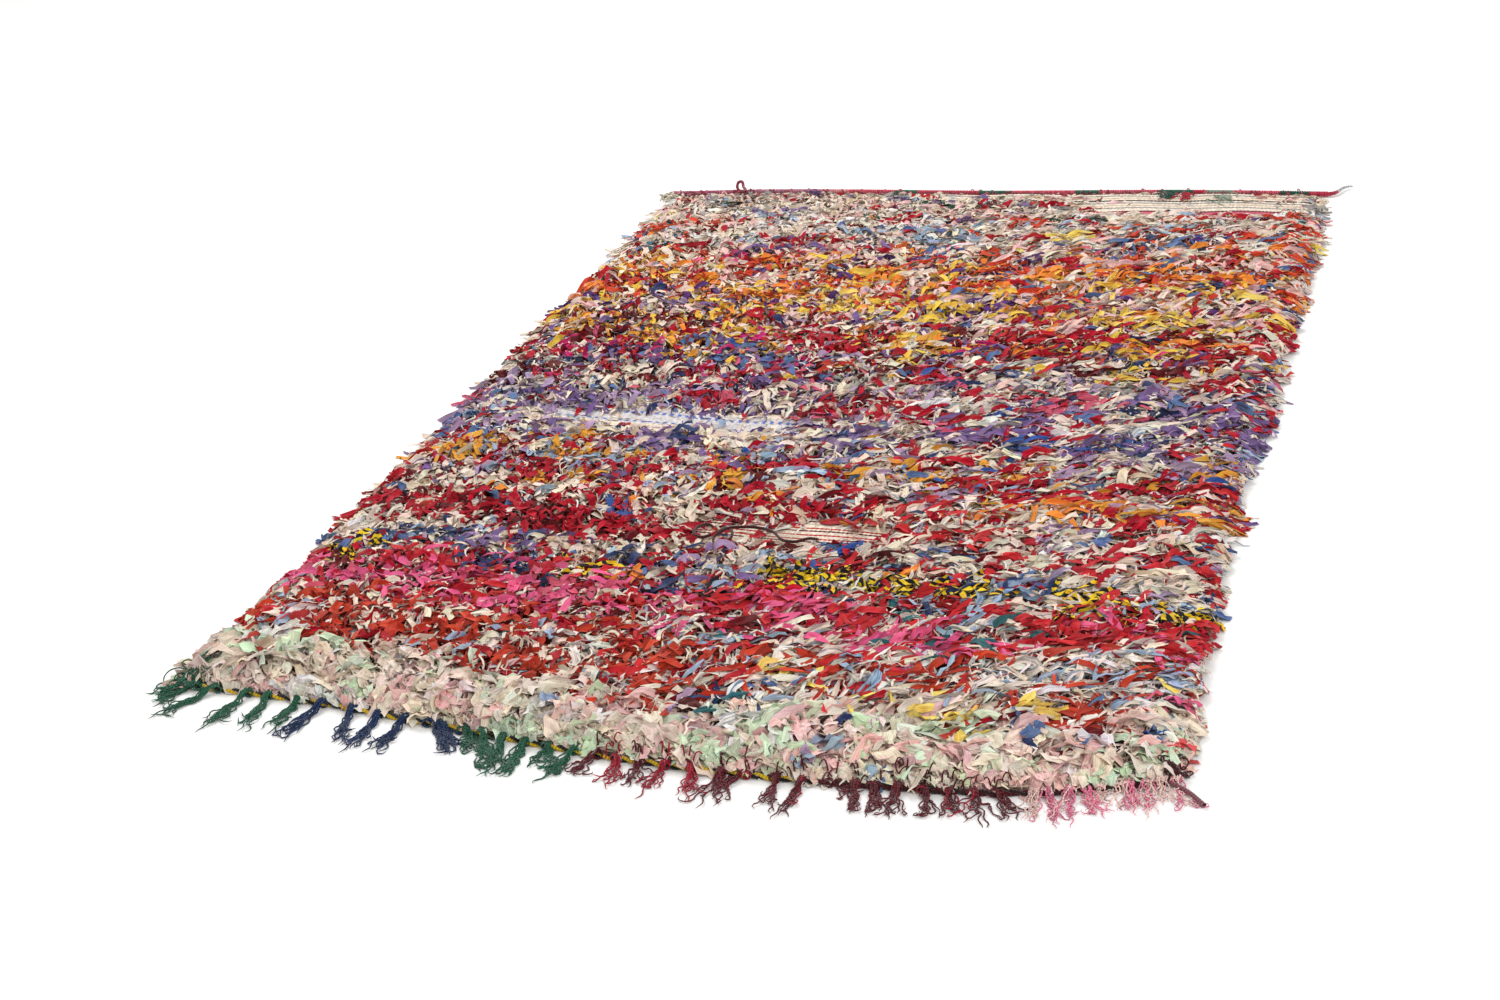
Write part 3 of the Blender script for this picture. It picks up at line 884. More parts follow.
# Share of the pile's height that a strip reaches, the angle in radians that it wiggles by
# and the metres that it crumples by
PATCH_LEVELS, STRIP_LEVELS, YARN_LEVELS = (0.82, 1.06), (0.45, 1.0), (0.55, 0.97)
STRIP_WIGGLES, YARN_WIGGLES = (0.05, 0.45), (0.5, 1.3)
STRIP_CRUMPLES, YARN_CRUMPLES = (0.002, 0.008), (0.001, 0.005)
# The rim where strips grow longer, in x, and how much darker the near left corner's are
LEFT_RIM = (-0.66, -0.60)
NEAR_LEFT_SHADE = 0.06
STREAKED_NAMES = ("white", "light_blue", "cream")


def knotted_strips(kind, start, end, spacing, steps, points, rng):
    """All strips of one kind between two shares of the rug's length: their grids, UVs and
    dyes, and how much of the zigzag and of the slate streaks each one shows. Sizes are read
    off STRIP_SIZES, the left ones giving way to the right ones, and vary by chance; a
    patch's strips are smaller and lie on top."""
    u, v, run = knot_rows(start, end, spacing, rng)
    x, y = rug_plan(u, v)
    kept = rng.random(len(x)) > BARE_SHARES[kind] * bareness(x, y)
    kept &= rng.random(len(x)) > BOUND_END_SHARE * ease(0.95, 0.99, v)
    x, y, v, run = x[kept], y[kept], v[kept], run[kept]
    n = len(x)
    right = ease(-0.25, 0.30, x)
    sizes = [np.interp(v, STRIP_SIZES[:, 0], STRIP_SIZES[:, k]) for k in (1, 2, 3, 4)]
    length = sizes[0] + (sizes[2] - sizes[0]) * right
    width = sizes[1] + (sizes[3] - sizes[1]) * right
    heading = lie_of_pile(x, v, rng, run)
    if kind == "yarn":
        length = rng.uniform(*YARN_LENGTHS, n) * np.minimum(length, LONGEST_YARN)
        width = rng.uniform(*YARN_WIDTHS, n)
        colour = choose_yarns(x, v, rng)
        heading = heading + rng.normal(0, 0.8, n)
        level, wiggle = rng.uniform(*YARN_LEVELS, n), rng.uniform(*YARN_WIGGLES, n)
        crumple = rng.uniform(*YARN_CRUMPLES, n)
    else:
        length = length * np.clip(rng.normal(1, LENGTH_SPREAD, n), *LENGTH_SHARES)
        width = width * rng.uniform(*RUN_WIDTHS, run.max() + 1)[run]
        width = width * rng.uniform(*STRIP_WIDTHS, n)
        colour, patched = choose_colours(x, y, v, run, rng)
        on_top, below = rng.uniform(*PATCH_LEVELS, n), rng.uniform(*STRIP_LEVELS, n) ** 0.8
        level = np.where(patched > 0, on_top, below)
        length = length * np.where(patched > 0, patched, 1.0)
        width = width * np.where((patched > 0) & (v > 0.03), patched, 1.0)
        wiggle = rng.uniform(*STRIP_WIGGLES, n)
        crumple = rng.uniform(*STRIP_CRUMPLES, n)
    length = length * (1 + 0.45 * (1 - ease(*LEFT_RIM, x)))
    level = level * (1 - 0.62 * bareness(x, y + 0.045))
    length = keep_in_reach(x, y, heading, length, run, rng)
    grid, strip_uv = rag_ribbons(
        x, y, heading, length, width, level, crumple, wiggle, steps, points, rng
    )
    dyes = COLOUR_VALUES[colour] * np.clip(rng.normal(1.0, 0.09, (n, 1)), 0.7, 1.25)
    dyes = dyes * rng.uniform(0.93, 1.07, (n, 3))
    dyes = dyes * (1 - NEAR_LEFT_SHADE * (1 - ease(0.05, 0.08, v)) * (1 - right))[:, None]
    root = np.interp(np.linspace(0, 1, steps), (0, 0.30, 1), (0.80, 1.0, 1.0))
    dyes = np.clip(dyes[:, None, None, :] * root[None, :, None, None] + 0 * grid, 0, 0.95)
    names = np.array(COLOUR_NAMES)[colour]
    streak = np.isin(names, STREAKED_NAMES) * (rng.random(n) < 0.14 + 0.45 * right)
    streak = streak * rng.uniform(0.3, 0.9, n) * (v > 0.05)
    return grid, strip_uv, dyes, (names == "zigzag") * 1.0, streak


RAG_CLOTH = rag_material()
for band, name in enumerate(BAND_NAMES):
    rng = np.random.default_rng(100 + band)
    batches, shapes = [], []
    for kind, low, high, spacing, steps, points in STRIP_KINDS:
        start, end = max(low, BAND_ENDS[band]), min(high, BAND_ENDS[band + 1])
        if start < end:
            batches.append(knotted_strips(kind, start, end, spacing, steps, points, rng))
            shapes.append((steps, points))
    counts = [len(batch[0]) for batch in batches]
    first, before, quads, cells = 0, 0, [], []
    for count, shape in zip(counts, shapes):
        quads.append(quads_of_grids(count, *shape, first))
        cells.append(bake_cells(before, count, sum(counts), *shape))
        first += count * math.prod(shape)
        before += count
    grids, uvs, dyes = [
        np.concatenate([batch[k].reshape(-1, batch[k].shape[-1]) for batch in batches])
        for k in (0, 1, 2)
    ]
    zigzag, streak = [
        np.concatenate([
            np.repeat(batch[k], math.prod(shape)) for batch, shape in zip(batches, shapes)
        ])
        for k in (3, 4)
    ]
    piece = cloth_piece(
        "pile_" + name, grids, np.concatenate(quads), dyes,
        (("Strip", uvs), ("OFBake", np.concatenate(cells))),
        (("zigzag", zigzag), ("streak", streak)), False,
    )
    piece.data.materials.append(RAG_CLOTH)
    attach(piece, "root")
    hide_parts("pile")

# Bare flat weave
# Places with no knots, where thick wefts in rows show: beads of cream with thin red and
# brown lines, a white tape with blue stitches, the striped cloth along the bound end, and
# the hem along the fringed one.
WOVEN_WIDTH = 1.37
BEAD_LENGTH = 0.0072
BEAD_HEIGHT = 0.0019
SUNK_EDGE = 0.005
POINTS_A_ROW = 3
# Columns: name, from u, to u, from v, to v, height, colours of the rows
FLAT_WEAVES = (
    ("bare_middle", 0.35, 0.68, 0.262, 0.319, 0.0085,
     "beige cream cream rust cream cream maroon cream cream beige cream maroon cream rust"
     " cream cream crimson cream cream maroon cream rust cream cream beige cream maroon"
     " cream cream"),
    ("blue_white_tape", 0.060, 0.60, 0.436, 0.484, 0.0095,
     "beige cream cream lilac beige cream tape tape_blue tape tape tape tape tape tape_blue"
     " tape_blue tape tape cream cream beige"),
    ("bound_end_cloth", 0.30, 0.996, 0.928, 0.997, 0.0100,
     "beige cream cream beige rose rose maroon cream cream grey cream beige cream grey cream"
     " charcoal cream beige cream grey cream maroon"),
    ("near_hem", 0.02, 0.975, 0.0004, 0.0110, 0.0105, "beige blush cream beige"),
)


def weave_rows_material():
    """Soft wool wefts, each row in its own dye, fuzzy and a little uneven."""
    cloth = Cloth("weft_rows", 0.95, 0.25)
    place = cloth.add("ShaderNodeTexCoord").outputs["Object"]
    tone = cloth.spread(cloth.noise(place, scale=160.0, detail=3.0), 0.35, 0.65, 0.72, 1.1)
    cloth.paint_shaded(cloth.attribute("dye", "Color"), tone)
    cloth.relief(cloth.noise(place, scale=520.0, detail=3.0), 0.0006)
    return cloth.material


WEFT_ROWS = weave_rows_material()
for name, left, right, near, far, height, words in FLAT_WEAVES:
    rng = np.random.default_rng(len(words))
    row_names = np.array(words.split())
    row_dyes = COLOUR_VALUES[[COLOUR_NAMES.index(word) for word in row_names]]
    columns = int((right - left) * WOVEN_WIDTH / BEAD_LENGTH * 2)
    lines = POINTS_A_ROW * len(row_names) + 1
    u, v = np.meshgrid(np.linspace(left, right, columns), np.linspace(near, far, lines))
    x, y = rug_plan(u, v)
    row = np.minimum(np.arange(lines) // POINTS_A_ROW, len(row_names) - 1)
    beads = 0.5 + 0.5 * np.cos(2 * np.pi * (x / BEAD_LENGTH + 0.5 * row[:, None]))
    ridge = np.abs(np.sin(np.pi * np.arange(lines) / POINTS_A_ROW))[:, None]
    edge = np.minimum(ease(left, left + 0.02, u), 1 - ease(right - 0.02, right, u))
    z = height - SUNK_EDGE * (1 - edge)
    z = z + BEAD_HEIGHT * ridge * (0.45 + 0.55 * beads) - BEAD_HEIGHT
    z = z + 0.0012 * np.sin(x * 31.0 + y * 17.0) * edge
    y = y + 0.0025 * np.sin(x * 12.0 + 1.0)
    tone = np.clip(rng.normal(1, 0.12, (lines, columns, 1)), 0.7, 1.2)
    skipped = (row_names[row] == "tape_blue")[:, None] & (np.floor(x / BEAD_LENGTH) % 2 > 0)
    tape = COLOUR_VALUES[COLOUR_NAMES.index("tape")]
    dyes = np.where(skipped[..., None], tape, row_dyes[row][:, None, :])
    piece = cloth_piece(
        name, np.stack([x, y, z], -1), quads_of_grids(1, lines, columns)[:, ::-1], dyes * tone,
    )
    piece.data.materials.append(WEFT_ROWS)
    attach(piece, "root")

# Loose brown weft
# One dark brown plied yarn that has worked loose over the bare middle and curls there. It
# is a float of the weave, caught in it at both ends. Columns: x, y, lift
LOOSE_WEFT = (
    (-0.088, -0.484, -0.002), (-0.104, -0.478, 0.003), (-0.116, -0.494, 0.005),
    (-0.114, -0.514, 0.005), (-0.099, -0.522, 0.004), (-0.082, -0.512, 0.006),
    (-0.064, -0.499, 0.010), (-0.050, -0.522, 0.009), (-0.062, -0.550, 0.004),
    (-0.078, -0.528, 0.007), (-0.064, -0.506, 0.012), (-0.044, -0.492, 0.009),
    (-0.018, -0.486, 0.006), (0.008, -0.497, 0.006), (0.028, -0.518, 0.005),
    (0.050, -0.524, 0.006), (0.068, -0.510, 0.005), (0.078, -0.496, -0.003),
)
LOOSE_WEFT_RADIUS = 0.0024
LOOSE_WEFT_STEPS = 150


def smooth_path(points, steps):
    """Dense points of a smooth line through a few: each of x, y and z is its own cubic
    curve over their order."""
    order, at = np.arange(len(points)), np.linspace(0, len(points) - 1, steps)
    lines = [np.stack([order, values], -1) for values in np.transpose(points)]
    return np.stack([curve_through(line, at) for line in lines], -1)


def frame_along(paths):
    """Sideways and upward unit vectors at each point of paths, (path, step, 3): sideways is
    level and square to the path, upward is square to both."""
    ahead = np.gradient(paths, axis=1)
    ahead = ahead / np.maximum(np.linalg.norm(ahead, axis=-1, keepdims=True), 1e-9)
    side = np.stack([-ahead[..., 1], ahead[..., 0], 0 * ahead[..., 0]], -1)
    side = side / np.maximum(np.linalg.norm(side, axis=-1, keepdims=True), 1e-9)
    return side, np.cross(ahead, side)


def yarn_tubes(paths, radii, sides):
    """Round yarns along paths: a ring of `sides` points about each step, turned from the
    sideways vector to the upward one. Returns the points and each one's UV: round, along."""
    side, up = frame_along(paths)
    turn = np.linspace(0, 2 * np.pi, sides + 1)
    ring = np.cos(turn)[:, None] * side[:, :, None, :] + np.sin(turn)[:, None] * up[:, :, None, :]
    points = paths[:, :, None, :] + ring * np.asarray(radii)[:, :, None, None]
    gone = np.cumsum(np.linalg.norm(np.diff(paths, axis=1, prepend=paths[:, :1]), axis=-1), 1)
    uv = np.stack([turn / (2 * np.pi) + 0 * gone[:, :, None], gone[:, :, None] + 0 * turn], -1)
    return points, uv


def yarn_piece(name, points, uv, dyes, material):
    """A piece of many yarns in their dyes, on its material and slot."""
    count, steps, sides = points.shape[:3]
    piece = cloth_piece(
        name, points, quads_of_grids(count, steps, sides)[:, ::-1], dyes + 0 * points,
        (("Strip", uv), ("OFBake", bake_cells(0, count, count, steps, sides))),
    )
    piece.data.materials.append(material)
    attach(piece, "root")
    return piece


def wool_material(name, twist):
    """Plied wool in the dye of each yarn: slanting ply lines, darker in the grooves, and
    fuzz. The twist is the number of ply lines a metre."""
    cloth = Cloth(name, 0.95, 0.35)
    strip = cloth.add("ShaderNodeUVMap", {"uv_map": "Strip"}).outputs["UV"]
    place = cloth.add("ShaderNodeTexCoord").outputs["Object"]
    plies = cloth.stretched(strip, (1.0, twist, 1.0))
    plies = cloth.waves(plies, scale=0.32, distortion=0.6, direction="DIAGONAL")
    fuzz = cloth.noise(place, scale=900.0)
    tone = cloth.math(
        "MULTIPLY", cloth.spread(plies, 0.1, 0.7, 0.72, 1.12), cloth.spread(fuzz, 0.3, 0.7, 0.80, 1.2)
    )
    cloth.paint_shaded(cloth.attribute("dye", "Color"), tone)
    cloth.relief(plies, 0.0007)
    cloth.relief(fuzz, 0.0004, 0.7)
    return cloth.material


WOOL_YARN = wool_material("plied_wool", 420.0)
path = smooth_path(LOOSE_WEFT, LOOSE_WEFT_STEPS)
path[:, 2] += BARE_PLACES[1][4] + LOOSE_WEFT_RADIUS + 0.001
points, uv = yarn_tubes(path[None], np.full((1, LOOSE_WEFT_STEPS), LOOSE_WEFT_RADIUS), 6)
loose_weft = yarn_piece(
    "loose_weft", points, uv, linear((0.24, 0.09, 0.09)), WOOL_YARN,
)

# Twined cords
# Two plies twined along the fringed edge to lock the weave: yellow with near black up to
# the burgundy tassels, then dark burgundy with brown to the right corner.
CORD_GAP = 0.0044
CORD_HEIGHT = 0.0044
PLY_RADIUS = 0.0026
PLY_OFFSET = 0.0020
PLY_PITCH = 0.038
CORD_STEP = 0.0035
# Columns: name, from x, to x, slot, ply dyes
TWINED_CORDS = (
    ("twined_cord_yellow", -0.700, 0.250, "cord_yellow", ((0.80, 0.66, 0.10), (0.10, 0.09, 0.08))),
    ("twined_cord_dark", 0.250, 0.690, "cord_dark", ((0.30, 0.07, 0.09), (0.20, 0.11, 0.10))),
)


def ply_pair(path, pitch, offset, radius, sides=6):
    """Two plies wound round one line: each stands off it by `offset`, half a turn apart,
    and goes round once a pitch."""
    side, up = frame_along(path[None])
    gone = np.cumsum(np.linalg.norm(np.diff(path, axis=0, prepend=path[:1]), axis=-1))
    plies = []
    for half_turn in (0.0, math.pi):
        turn = (2 * np.pi * gone / pitch + half_turn)[:, None]
        plies.append(path + offset * (np.cos(turn) * side[0] + np.sin(turn) * up[0]))
    radii = np.full((2, len(path)), radius)
    radii[:, [0, -1]] *= 0.3
    return yarn_tubes(np.array(plies), radii, sides)


for name, start, end, slot, ply_dyes in TWINED_CORDS:
    x = np.linspace(start, end, int((end - start) / CORD_STEP))
    y = curve_through(NEAR_EDGE, x) - CORD_GAP + 0.0006 * np.sin(x * 90.0)
    line = np.stack([x, y, np.full(len(x), CORD_HEIGHT)], -1)
    points, uv = ply_pair(line, PLY_PITCH, PLY_OFFSET, PLY_RADIUS)
    dyes = linear(ply_dyes)[:, None, None, :]
    piece = yarn_piece(name, points, uv, dyes, WOOL_YARN)
    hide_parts(name)

# Fringe
# Tassels of plied wool pulled through the edge and knotted there. Each starts as a tight
# neck of many yarns over the cord, then opens into thin crimped ends on the floor.
YARN_STEPS = 17
GREEN, NAVY = (0.10, 0.33, 0.24), (0.06, 0.16, 0.31)
WINE, RED = (0.36, 0.07, 0.12), (0.60, 0.08, 0.17)
ROSE, SHELL = (0.86, 0.46, 0.58), (0.90, 0.76, 0.73)
# Columns: root x, length, lean towards +X from straight out, spread in degrees, dye
FRINGE_GREEN_LEFT = (
    (-0.716, 0.050, -56, 26, GREEN), (-0.698, 0.070, -44, 18, GREEN), (-0.664, 0.099, -36, 9, GREEN),
    (-0.612, 0.094, -14, 11, GREEN), (-0.580, 0.083, -3, 11, GREEN), (-0.528, 0.076, -8, 13, GREEN),
)
FRINGE_NAVY = (
    (-0.489, 0.095, -12, 13, NAVY), (-0.441, 0.078, 4, 11, NAVY), (-0.395, 0.082, -3, 14, NAVY),
    (-0.352, 0.080, -10, 9, NAVY), (-0.318, 0.080, 48, 20, NAVY), (-0.300, 0.060, 38, 30, NAVY),
)
FRINGE_GREEN_MIDDLE = (
    (-0.262, 0.064, 34, 32, GREEN), (-0.232, 0.080, 22, 28, GREEN), (-0.199, 0.094, 7, 18, GREEN),
    (-0.162, 0.078, -3, 22, GREEN), (-0.130, 0.054, 16, 36, GREEN), (-0.088, 0.082, -15, 13, GREEN),
)
FRINGE_BURGUNDY = (
    (-0.052, 0.058, -34, 22, WINE), (-0.026, 0.062, 8, 16, RED), (0.010, 0.054, -8, 48, WINE),
    (0.046, 0.068, -14, 20, RED), (0.082, 0.066, 8, 16, RED), (0.124, 0.078, 0, 34, WINE),
    (0.158, 0.056, -42, 18, WINE), (0.196, 0.068, 4, 13, WINE), (0.232, 0.076, 0, 13, WINE),
    (0.270, 0.040, 58, 26, WINE), (0.303, 0.070, 8, 13, WINE), (0.325, 0.064, 14, 16, WINE),
    (0.358, 0.066, 0, 30, WINE), (0.390, 0.062, 17, 18, WINE), (0.420, 0.060, 18, 18, WINE),
    (0.454, 0.064, 12, 32, WINE), (0.481, 0.062, 32, 20, WINE),
)
FRINGE_PINK = (
    (0.529, 0.048, 6, 24, SHELL), (0.541, 0.056, 22, 16, ROSE), (0.574, 0.054, 0, 18, ROSE),
    (0.586, 0.050, 26, 16, ROSE), (0.608, 0.030, 0, 50, SHELL), (0.630, 0.034, 6, 42, SHELL),
    (0.640, 0.050, 12, 22, ROSE), (0.662, 0.056, 14, 22, ROSE), (0.680, 0.034, 6, 44, SHELL),
    (0.697, 0.062, 12, 20, ROSE),
)
# Columns: node, slot, tassels, yarns a tassel, yarn radius, crimp in degrees, share of the
# length where they part, width of the root, length kept
FRINGES = (
    ("fringe_green_left", "yarn_green", FRINGE_GREEN_LEFT, 13, 0.0011, 42, 0.08, 0.0055, 0.84),
    ("fringe_navy", "yarn_navy", FRINGE_NAVY, 13, 0.0012, 40, 0.08, 0.0055, 0.88),
    ("fringe_green_middle", "yarn_green", FRINGE_GREEN_MIDDLE, 13, 0.0012, 50, 0.06, 0.0060, 0.84),
    ("fringe_burgundy", "yarn_burgundy", FRINGE_BURGUNDY, 10, 0.0011, 42, 0.05, 0.0060, 0.83),
    ("fringe_pink", "yarn_pink", FRINGE_PINK, 11, 0.0009, 52, 0.0, 0.0075, 0.98),
)
NECK = 0.016
FLOOR_LEVELS = (0.0018, 0.0034)
# Short ends that stand up from a burgundy knot: how many, their scatter and length, and
# their headings and curls in degrees with their share of the pile's height
WHISKERS = 4
WHISKER_SHAPE = (0.006, 0.016)
WHISKER_TURNS = ((25, 155), (20, 130), 1.05)
RED_SHARE, SHELL_SHARE = 0.06, 0.35
# The matted ends at both corners. Columns: node, yarns, middle of their roots, scatter,
# reach, dye
MATTED_ENDS = (
    ("fringe_green_left", 44, (-0.706, -0.992), 0.014, 0.056, GREEN),
    ("fringe_burgundy", 26, (0.699, -1.040), 0.008, 0.026, (0.27, 0.07, 0.10)),
)


def tassel_yarns(root_x, length, lean, spread, crimp, parting, root, yarns, radius, rng):
    """Yarns of one tassel, (yarn, step). They leave the weave side by side, stay together
    over a short neck, then each turns away by its own angle and crimps to and fro; the
    height falls from the weave's edge to the floor over the neck."""
    s = np.linspace(0, 1, YARN_STEPS)[None, :]
    reach = length * rng.uniform(0.62, 1.08, yarns) + NECK
    opened = ease(parting - 0.02, parting + 0.45, s)
    turn = each(np.radians(rng.normal(0, spread, yarns))) * opened * (1.25 - 0.9 * s)
    wave = each(np.radians(rng.uniform(0.45, 1.25, yarns) * crimp))
    wave = wave * ease(parting, parting + 0.28, s)
    rounds = 2 * np.pi * each(rng.uniform(2.2, 4.2, yarns)) * s
    angle = math.radians(lean - 90) + turn
    angle = angle + wave * np.sin(rounds + each(rng.uniform(0, 6.28, yarns)))
    hook = each(np.radians(rng.choice([0, 0, 0, 150, -150, 220, -220], yarns)))
    angle = angle + hook * ease(0.74, 1.0, s)
    stride = each(reach) / (YARN_STEPS - 1) * 1.15
    spot = each(rng.uniform(-1, 1, yarns))
    start_y = curve_through(NEAR_EDGE, root_x) + 0.004
    px = root_x + spot * root * (1 - 0.30 * ease(0.0, 0.2, s)) + np.cumsum(np.cos(angle) * stride, 1)
    py = start_y + np.cumsum(np.sin(angle) * stride, 1)
    stack = each(rng.uniform(0, 1, yarns))
    over = 0.0085 + 0.0040 * stack
    laid = FLOOR_LEVELS[0] + FLOOR_LEVELS[1] * stack * (1 - 0.5 * s)
    pz = over + (laid - over) * ease(0.10, 0.34, s)
    ripple = 0.0020 * each(rng.uniform(0, 1, yarns))
    pz = pz + ripple * np.sin(11 * s + each(rng.uniform(0, 6.28, yarns))) * opened
    return np.stack([px, py, np.maximum(pz, radius * 1.05)], -1)


def matted_yarns(
    count, root, scatter, reach, rng, headings=(120, 250), curls=(150, 520), height=0.75
):
    """Matted yarns, (yarn, step): each sets off from near the root on a heading of its own
    and curls round on itself, tighter towards its end, at a share of the pile's height."""
    s = np.linspace(0, 1, YARN_STEPS)[None, :]
    curl = each(np.radians(rng.choice([-1, 1], count) * rng.uniform(*curls, count)))
    angle = each(np.radians(rng.uniform(*headings, count))) + curl * s ** 1.4
    stride = each(reach * rng.uniform(0.6, 1.2, count)) / (YARN_STEPS - 1)
    px = each(rng.normal(root[0], scatter, count)) + np.cumsum(np.cos(angle) * stride, 1)
    py = each(rng.normal(root[1], scatter, count)) + np.cumsum(np.sin(angle) * stride, 1)
    arch = each(rng.uniform(0, 0.010, count)) * np.sin(np.pi * s)
    pz = 0.002 + height * pile_height(px, py) + arch
    return np.stack([px, py, pz], -1)


def knot_wraps(root_x, radius, rng):
    """Two short loops of yarn round the tassel's neck where it crosses the cord: each an
    upright ellipse, 13 mm across and 10 mm high, leant a little along the neck."""
    turn = np.linspace(0, 2 * np.pi, YARN_STEPS)[None, :]
    shift = np.array([[0.0], [0.0030]]) + rng.uniform(-0.0005, 0.0005, (2, 1))
    px = root_x + 0.0066 * np.cos(turn) + 0 * shift
    py = curve_through(NEAR_EDGE, root_x) - 0.0060 - shift + 0.0012 * np.sin(turn)
    pz = 0.0066 + 0.0048 * np.sin(turn) + 0 * shift
    return np.stack([px, py, np.maximum(pz, radius)], -1)


for node, slot, tassels, yarns, radius, crimp, parting, root, kept in FRINGES:
    rng = np.random.default_rng(len(node))
    paths, dyes = [], []
    for x, length, lean, spread, dye in tassels:
        paths.append(
            tassel_yarns(x, length * kept, lean, spread, crimp, parting, root, yarns, radius, rng)
        )
        paths.append(knot_wraps(x, radius, rng))
        mixed = linear(dye) * rng.uniform(0.7, 1.3, (yarns + 2, 1))
        if node == "fringe_burgundy":
            mixed[rng.random(yarns + 2) < RED_SHARE] = linear(RED)
            knot = (x, curve_through(NEAR_EDGE, x) - 0.003)
            paths.append(matted_yarns(WHISKERS, knot, *WHISKER_SHAPE, rng, *WHISKER_TURNS))
            mixed = np.concatenate([mixed, linear(dye) * rng.uniform(0.6, 1.1, (WHISKERS, 1))])
        if node == "fringe_pink":
            mixed[rng.random(yarns + 2) < SHELL_SHARE] = linear(SHELL)
            mixed[-2:] = linear(SHELL)
        dyes.append(mixed)
    for owner, count, place, scatter, reach, dye in MATTED_ENDS:
        if owner == node:
            paths.append(matted_yarns(count, place, scatter, reach, rng))
            dyes.append(linear(dye) * rng.uniform(0.7, 1.4, (count, 1)))
    paths, dyes = np.concatenate(paths), np.concatenate(dyes)
    taper = np.interp(np.arange(YARN_STEPS), (0, 14, YARN_STEPS - 1), (1.15, 1.0, 0.35))
    points, uv = yarn_tubes(paths, np.tile(taper, (len(paths), 1)) * radius, 4)
    piece = yarn_piece(node + "_yarns", points, uv, dyes[:, None, None, :], WOOL_YARN)
    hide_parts(node)

# Bound heading
# The far end is turned over and bound with wool: rounds of crimson and rose with lengths
# of dark green, run out into a thin tail at the right corner, with a loop and knots.
HEADING_FROM, HEADING_TO = -0.668, 0.705
HEADING_GAP = 0.0052
HEADING_LEVEL = 0.0063
HEADING_RADIUS = 0.0060
HEADING_STEPS, TAIL_STEPS = 590, 23
BINDING_PITCH = 0.0046
TAIL_LENGTH, TAIL_TURN = 0.070, 70.0
# Columns: to x, dye
HEADING_DYES = (
    (-0.50, (0.64, 0.34, 0.42)), (-0.36, (0.66, 0.44, 0.52)), (-0.28, (0.80, 0.50, 0.52)),
    (-0.17, (0.74, 0.30, 0.36)), (-0.13, (0.22, 0.38, 0.30)), (0.00, (0.72, 0.26, 0.33)),
    (0.07, (0.20, 0.36, 0.30)), (0.20, (0.76, 0.32, 0.38)), (0.25, (0.22, 0.38, 0.32)),
    (0.37, (0.76, 0.34, 0.40)), (0.44, (0.18, 0.36, 0.30)), (0.465, (0.72, 0.16, 0.24)),
    (0.52, (0.50, 0.55, 0.50)), (0.61, (0.78, 0.34, 0.40)), (0.668, (0.14, 0.33, 0.27)),
    (0.69, (0.68, 0.22, 0.30)), (0.722, (0.68, 0.20, 0.28)), (2.0, (0.70, 0.70, 0.72)),
)
x = np.linspace(HEADING_FROM, HEADING_TO, HEADING_STEPS)
y = curve_through(FAR_EDGE, x) + HEADING_GAP
line = np.stack([x, y, np.full(HEADING_STEPS, HEADING_LEVEL)], -1)
way = np.radians(TAIL_TURN * np.sin(np.pi * np.linspace(0, 1, TAIL_STEPS + 1)[1:]))
tail = np.stack([np.cumsum(np.cos(way)), np.cumsum(np.sin(way)), 0 * way], -1)
line = np.concatenate([line, line[-1] + tail * TAIL_LENGTH / TAIL_STEPS])
gone = np.cumsum(np.linalg.norm(np.diff(line, axis=0, prepend=line[:1]), axis=-1))
radii = HEADING_RADIUS * (0.90 + 0.10 * np.cos(2 * np.pi * gone / BINDING_PITCH))
radii[HEADING_STEPS:] *= np.linspace(0.8, 0.32, TAIL_STEPS)
radii[[0, -1]] *= 0.2
lengths = np.searchsorted([end for end, _ in HEADING_DYES], line[:, 0])
dyes = linear([HEADING_DYES[i][1] for i in lengths])
dyes = dyes * np.random.default_rng(9).uniform(0.65, 1.25, (len(line), 1))
points, uv = yarn_tubes(line[None], radii[None], 8)
heading = yarn_piece(
    "heading_binding", points, uv, dyes[None, :, None, :], WOOL_YARN,
)
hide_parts("heading")

# The loop of binding yarn that stands up at the left, the dark cord's tail at the near right
# corner, and one thin thread that has slipped out at the fringe. Columns: name, slot,
# radius, dye, path
LOOSE_ENDS = (
    ("heading_loop", "heading_cord", 0.0033, (0.52, 0.20, 0.26), (
        (-0.514, 1.014, 0.008), (-0.524, 1.022, 0.019), (-0.522, 1.029, 0.028),
        (-0.513, 1.027, 0.029), (-0.508, 1.016, 0.022), (-0.497, 0.994, 0.026),
        (-0.492, 0.980, 0.024),
    )),
    ("corner_tail", "cord_dark", 0.0032, (0.46, 0.27, 0.30), (
        (0.690, -1.062, 0.006), (0.704, -1.072, 0.006), (0.720, -1.084, 0.005),
        (0.738, -1.104, 0.0045),
    )),
    ("slipped_thread", "cord_dark", 0.0007, (0.62, 0.55, 0.52), (
        (0.220, -1.104, 0.018), (0.226, -1.122, 0.006), (0.231, -1.136, 0.0015),
        (0.239, -1.150, 0.0012),
    )),
)
LOOSE_END_STEPS = 40
for name, slot, radius, dye, path in LOOSE_ENDS:
    path = smooth_path(path, LOOSE_END_STEPS)[None]
    points, uv = yarn_tubes(path, np.full((1, LOOSE_END_STEPS), radius), 6)
    yarn_piece(name, points, uv, linear(dye), WOOL_YARN)

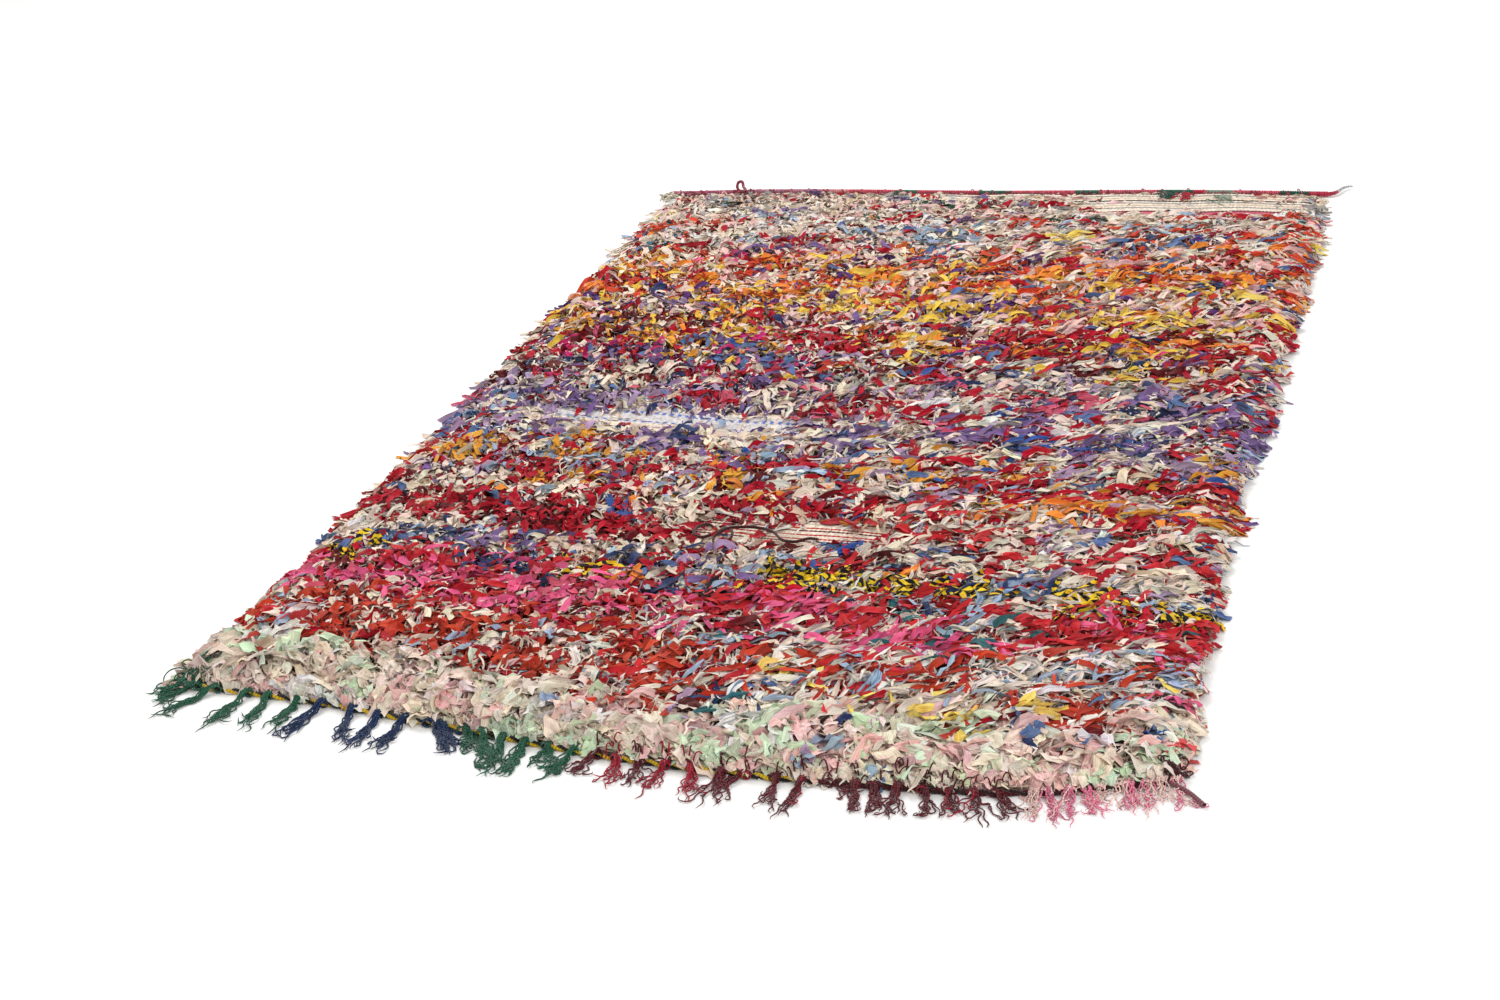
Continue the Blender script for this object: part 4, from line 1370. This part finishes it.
# Wool left over from the binding, knotted in along the heading, and its short fuzz.
# Columns: x, y, yarns, reach, dye
END_KNOTS = (
    (-0.335, 1.002, 14, 0.034, (0.36, 0.22, 0.44)), (-0.159, 1.014, 12, 0.028, (0.20, 0.34, 0.28)),
    (0.400, 1.016, 14, 0.034, (0.15, 0.33, 0.27)), (0.432, 1.010, 12, 0.030, (0.68, 0.08, 0.18)),
    (0.510, 1.004, 18, 0.040, (0.55, 0.62, 0.55)), (-0.610, 1.004, 12, 0.034, (0.60, 0.30, 0.34)),
    (-0.668, 0.996, 30, 0.036, (0.78, 0.74, 0.66)),
)
HEADING_FUZZ = [
    (x, curve_through(FAR_EDGE, x) + 0.002, 6, 0.017, (0.66, 0.30, 0.36))
    for x in np.linspace(-0.64, 0.66, 34)
]
END_YARN_RADIUS = 0.0011
rng = np.random.default_rng(21)
knots = [*END_KNOTS, *HEADING_FUZZ]
paths = [matted_yarns(count, (x, y), 0.007, reach, rng) for x, y, count, reach, _ in knots]
dyes = [linear(dye) * rng.uniform(0.7, 1.3, (count, 1)) for _, _, count, _, dye in knots]
paths, dyes = np.concatenate(paths), np.concatenate(dyes)
points, uv = yarn_tubes(paths, np.full(paths.shape[:2], END_YARN_RADIUS), 4)
yarn_piece("heading_knots", points, uv, dyes[:, None, None, :], WOOL_YARN)

# Floor, light and camera
# A plain white studio floor under a wide soft light, seen as in the photograph.
FLOOR_CORNERS = ((-9, -7, 0), (9, -7, 0), (9, 16, 0), (-9, 16, 0))
PALE, PALER = (0.90, 0.90, 0.90, 1), (0.92, 0.92, 0.92, 1)
floor = cloth_piece("studio_floor", FLOOR_CORNERS, [[0, 1, 2, 3]])
floor_look = Cloth("floor_paint", 0.9, 0.0)
floor_place = floor_look.add("ShaderNodeTexCoord").outputs["Object"]
floor_look.paint(floor_look.blend("MIX", floor_look.noise(floor_place, scale=3.0), PALE, PALER))
floor.data.materials.append(floor_look.material)

SKY_COLOUR, SKY_STRENGTH = (1.0, 0.985, 0.955, 1), 0.76
world = bpy.data.worlds.new("studio")
world.use_nodes = True
sky = world.node_tree.nodes["Background"]
sky.inputs["Color"].default_value = SKY_COLOUR
sky.inputs["Strength"].default_value = SKY_STRENGTH
bpy.context.scene.world = world
# Both lamps look at the rug's middle. Columns: name, place, size, power
LAMPS = (
    ("key_light", (-2.2, 1.6, 3.4), 2.6, 112.0),
    ("fill_light", (2.6, -2.4, 3.0), 2.6, 60.0),
)
for name, spot, size, power in LAMPS:
    lamp = bpy.data.lights.new(name, "AREA")
    lamp.shape, lamp.size, lamp.energy = "DISK", size, power
    holder = bpy.data.objects.new(name, lamp)
    holder.location = spot
    holder.rotation_euler = (-Vector(spot)).to_track_quat("-Z", "Y").to_euler()
    bpy.context.scene.collection.objects.link(holder)

# The camera stands at the near right, at eye height. Angles in degrees
EYE_PLACE = (1.0766, -3.4443, 1.669)
EYE_TURN, EYE_TILT, EYE_ROLL = 19.9, 63.45, -6.30
EYE_LENS, EYE_SENSOR, EYE_REACH = 56.4, 36.0, 100
eye = bpy.data.objects.new("camera", bpy.data.cameras.new("camera"))
eye.data.lens = EYE_LENS
eye.data.sensor_width = EYE_SENSOR
eye.data.clip_end = EYE_REACH
eye.matrix_world = (
    Matrix.Translation(EYE_PLACE)
    @ Matrix.Rotation(math.radians(EYE_TURN), 4, "Z")
    @ Matrix.Rotation(math.radians(EYE_TILT), 4, "X")
    @ Matrix.Rotation(math.radians(EYE_ROLL), 4, "Z")
)
bpy.context.scene.collection.objects.link(eye)
bpy.context.scene.camera = eye
bpy.context.scene.view_settings.view_transform = "Standard"
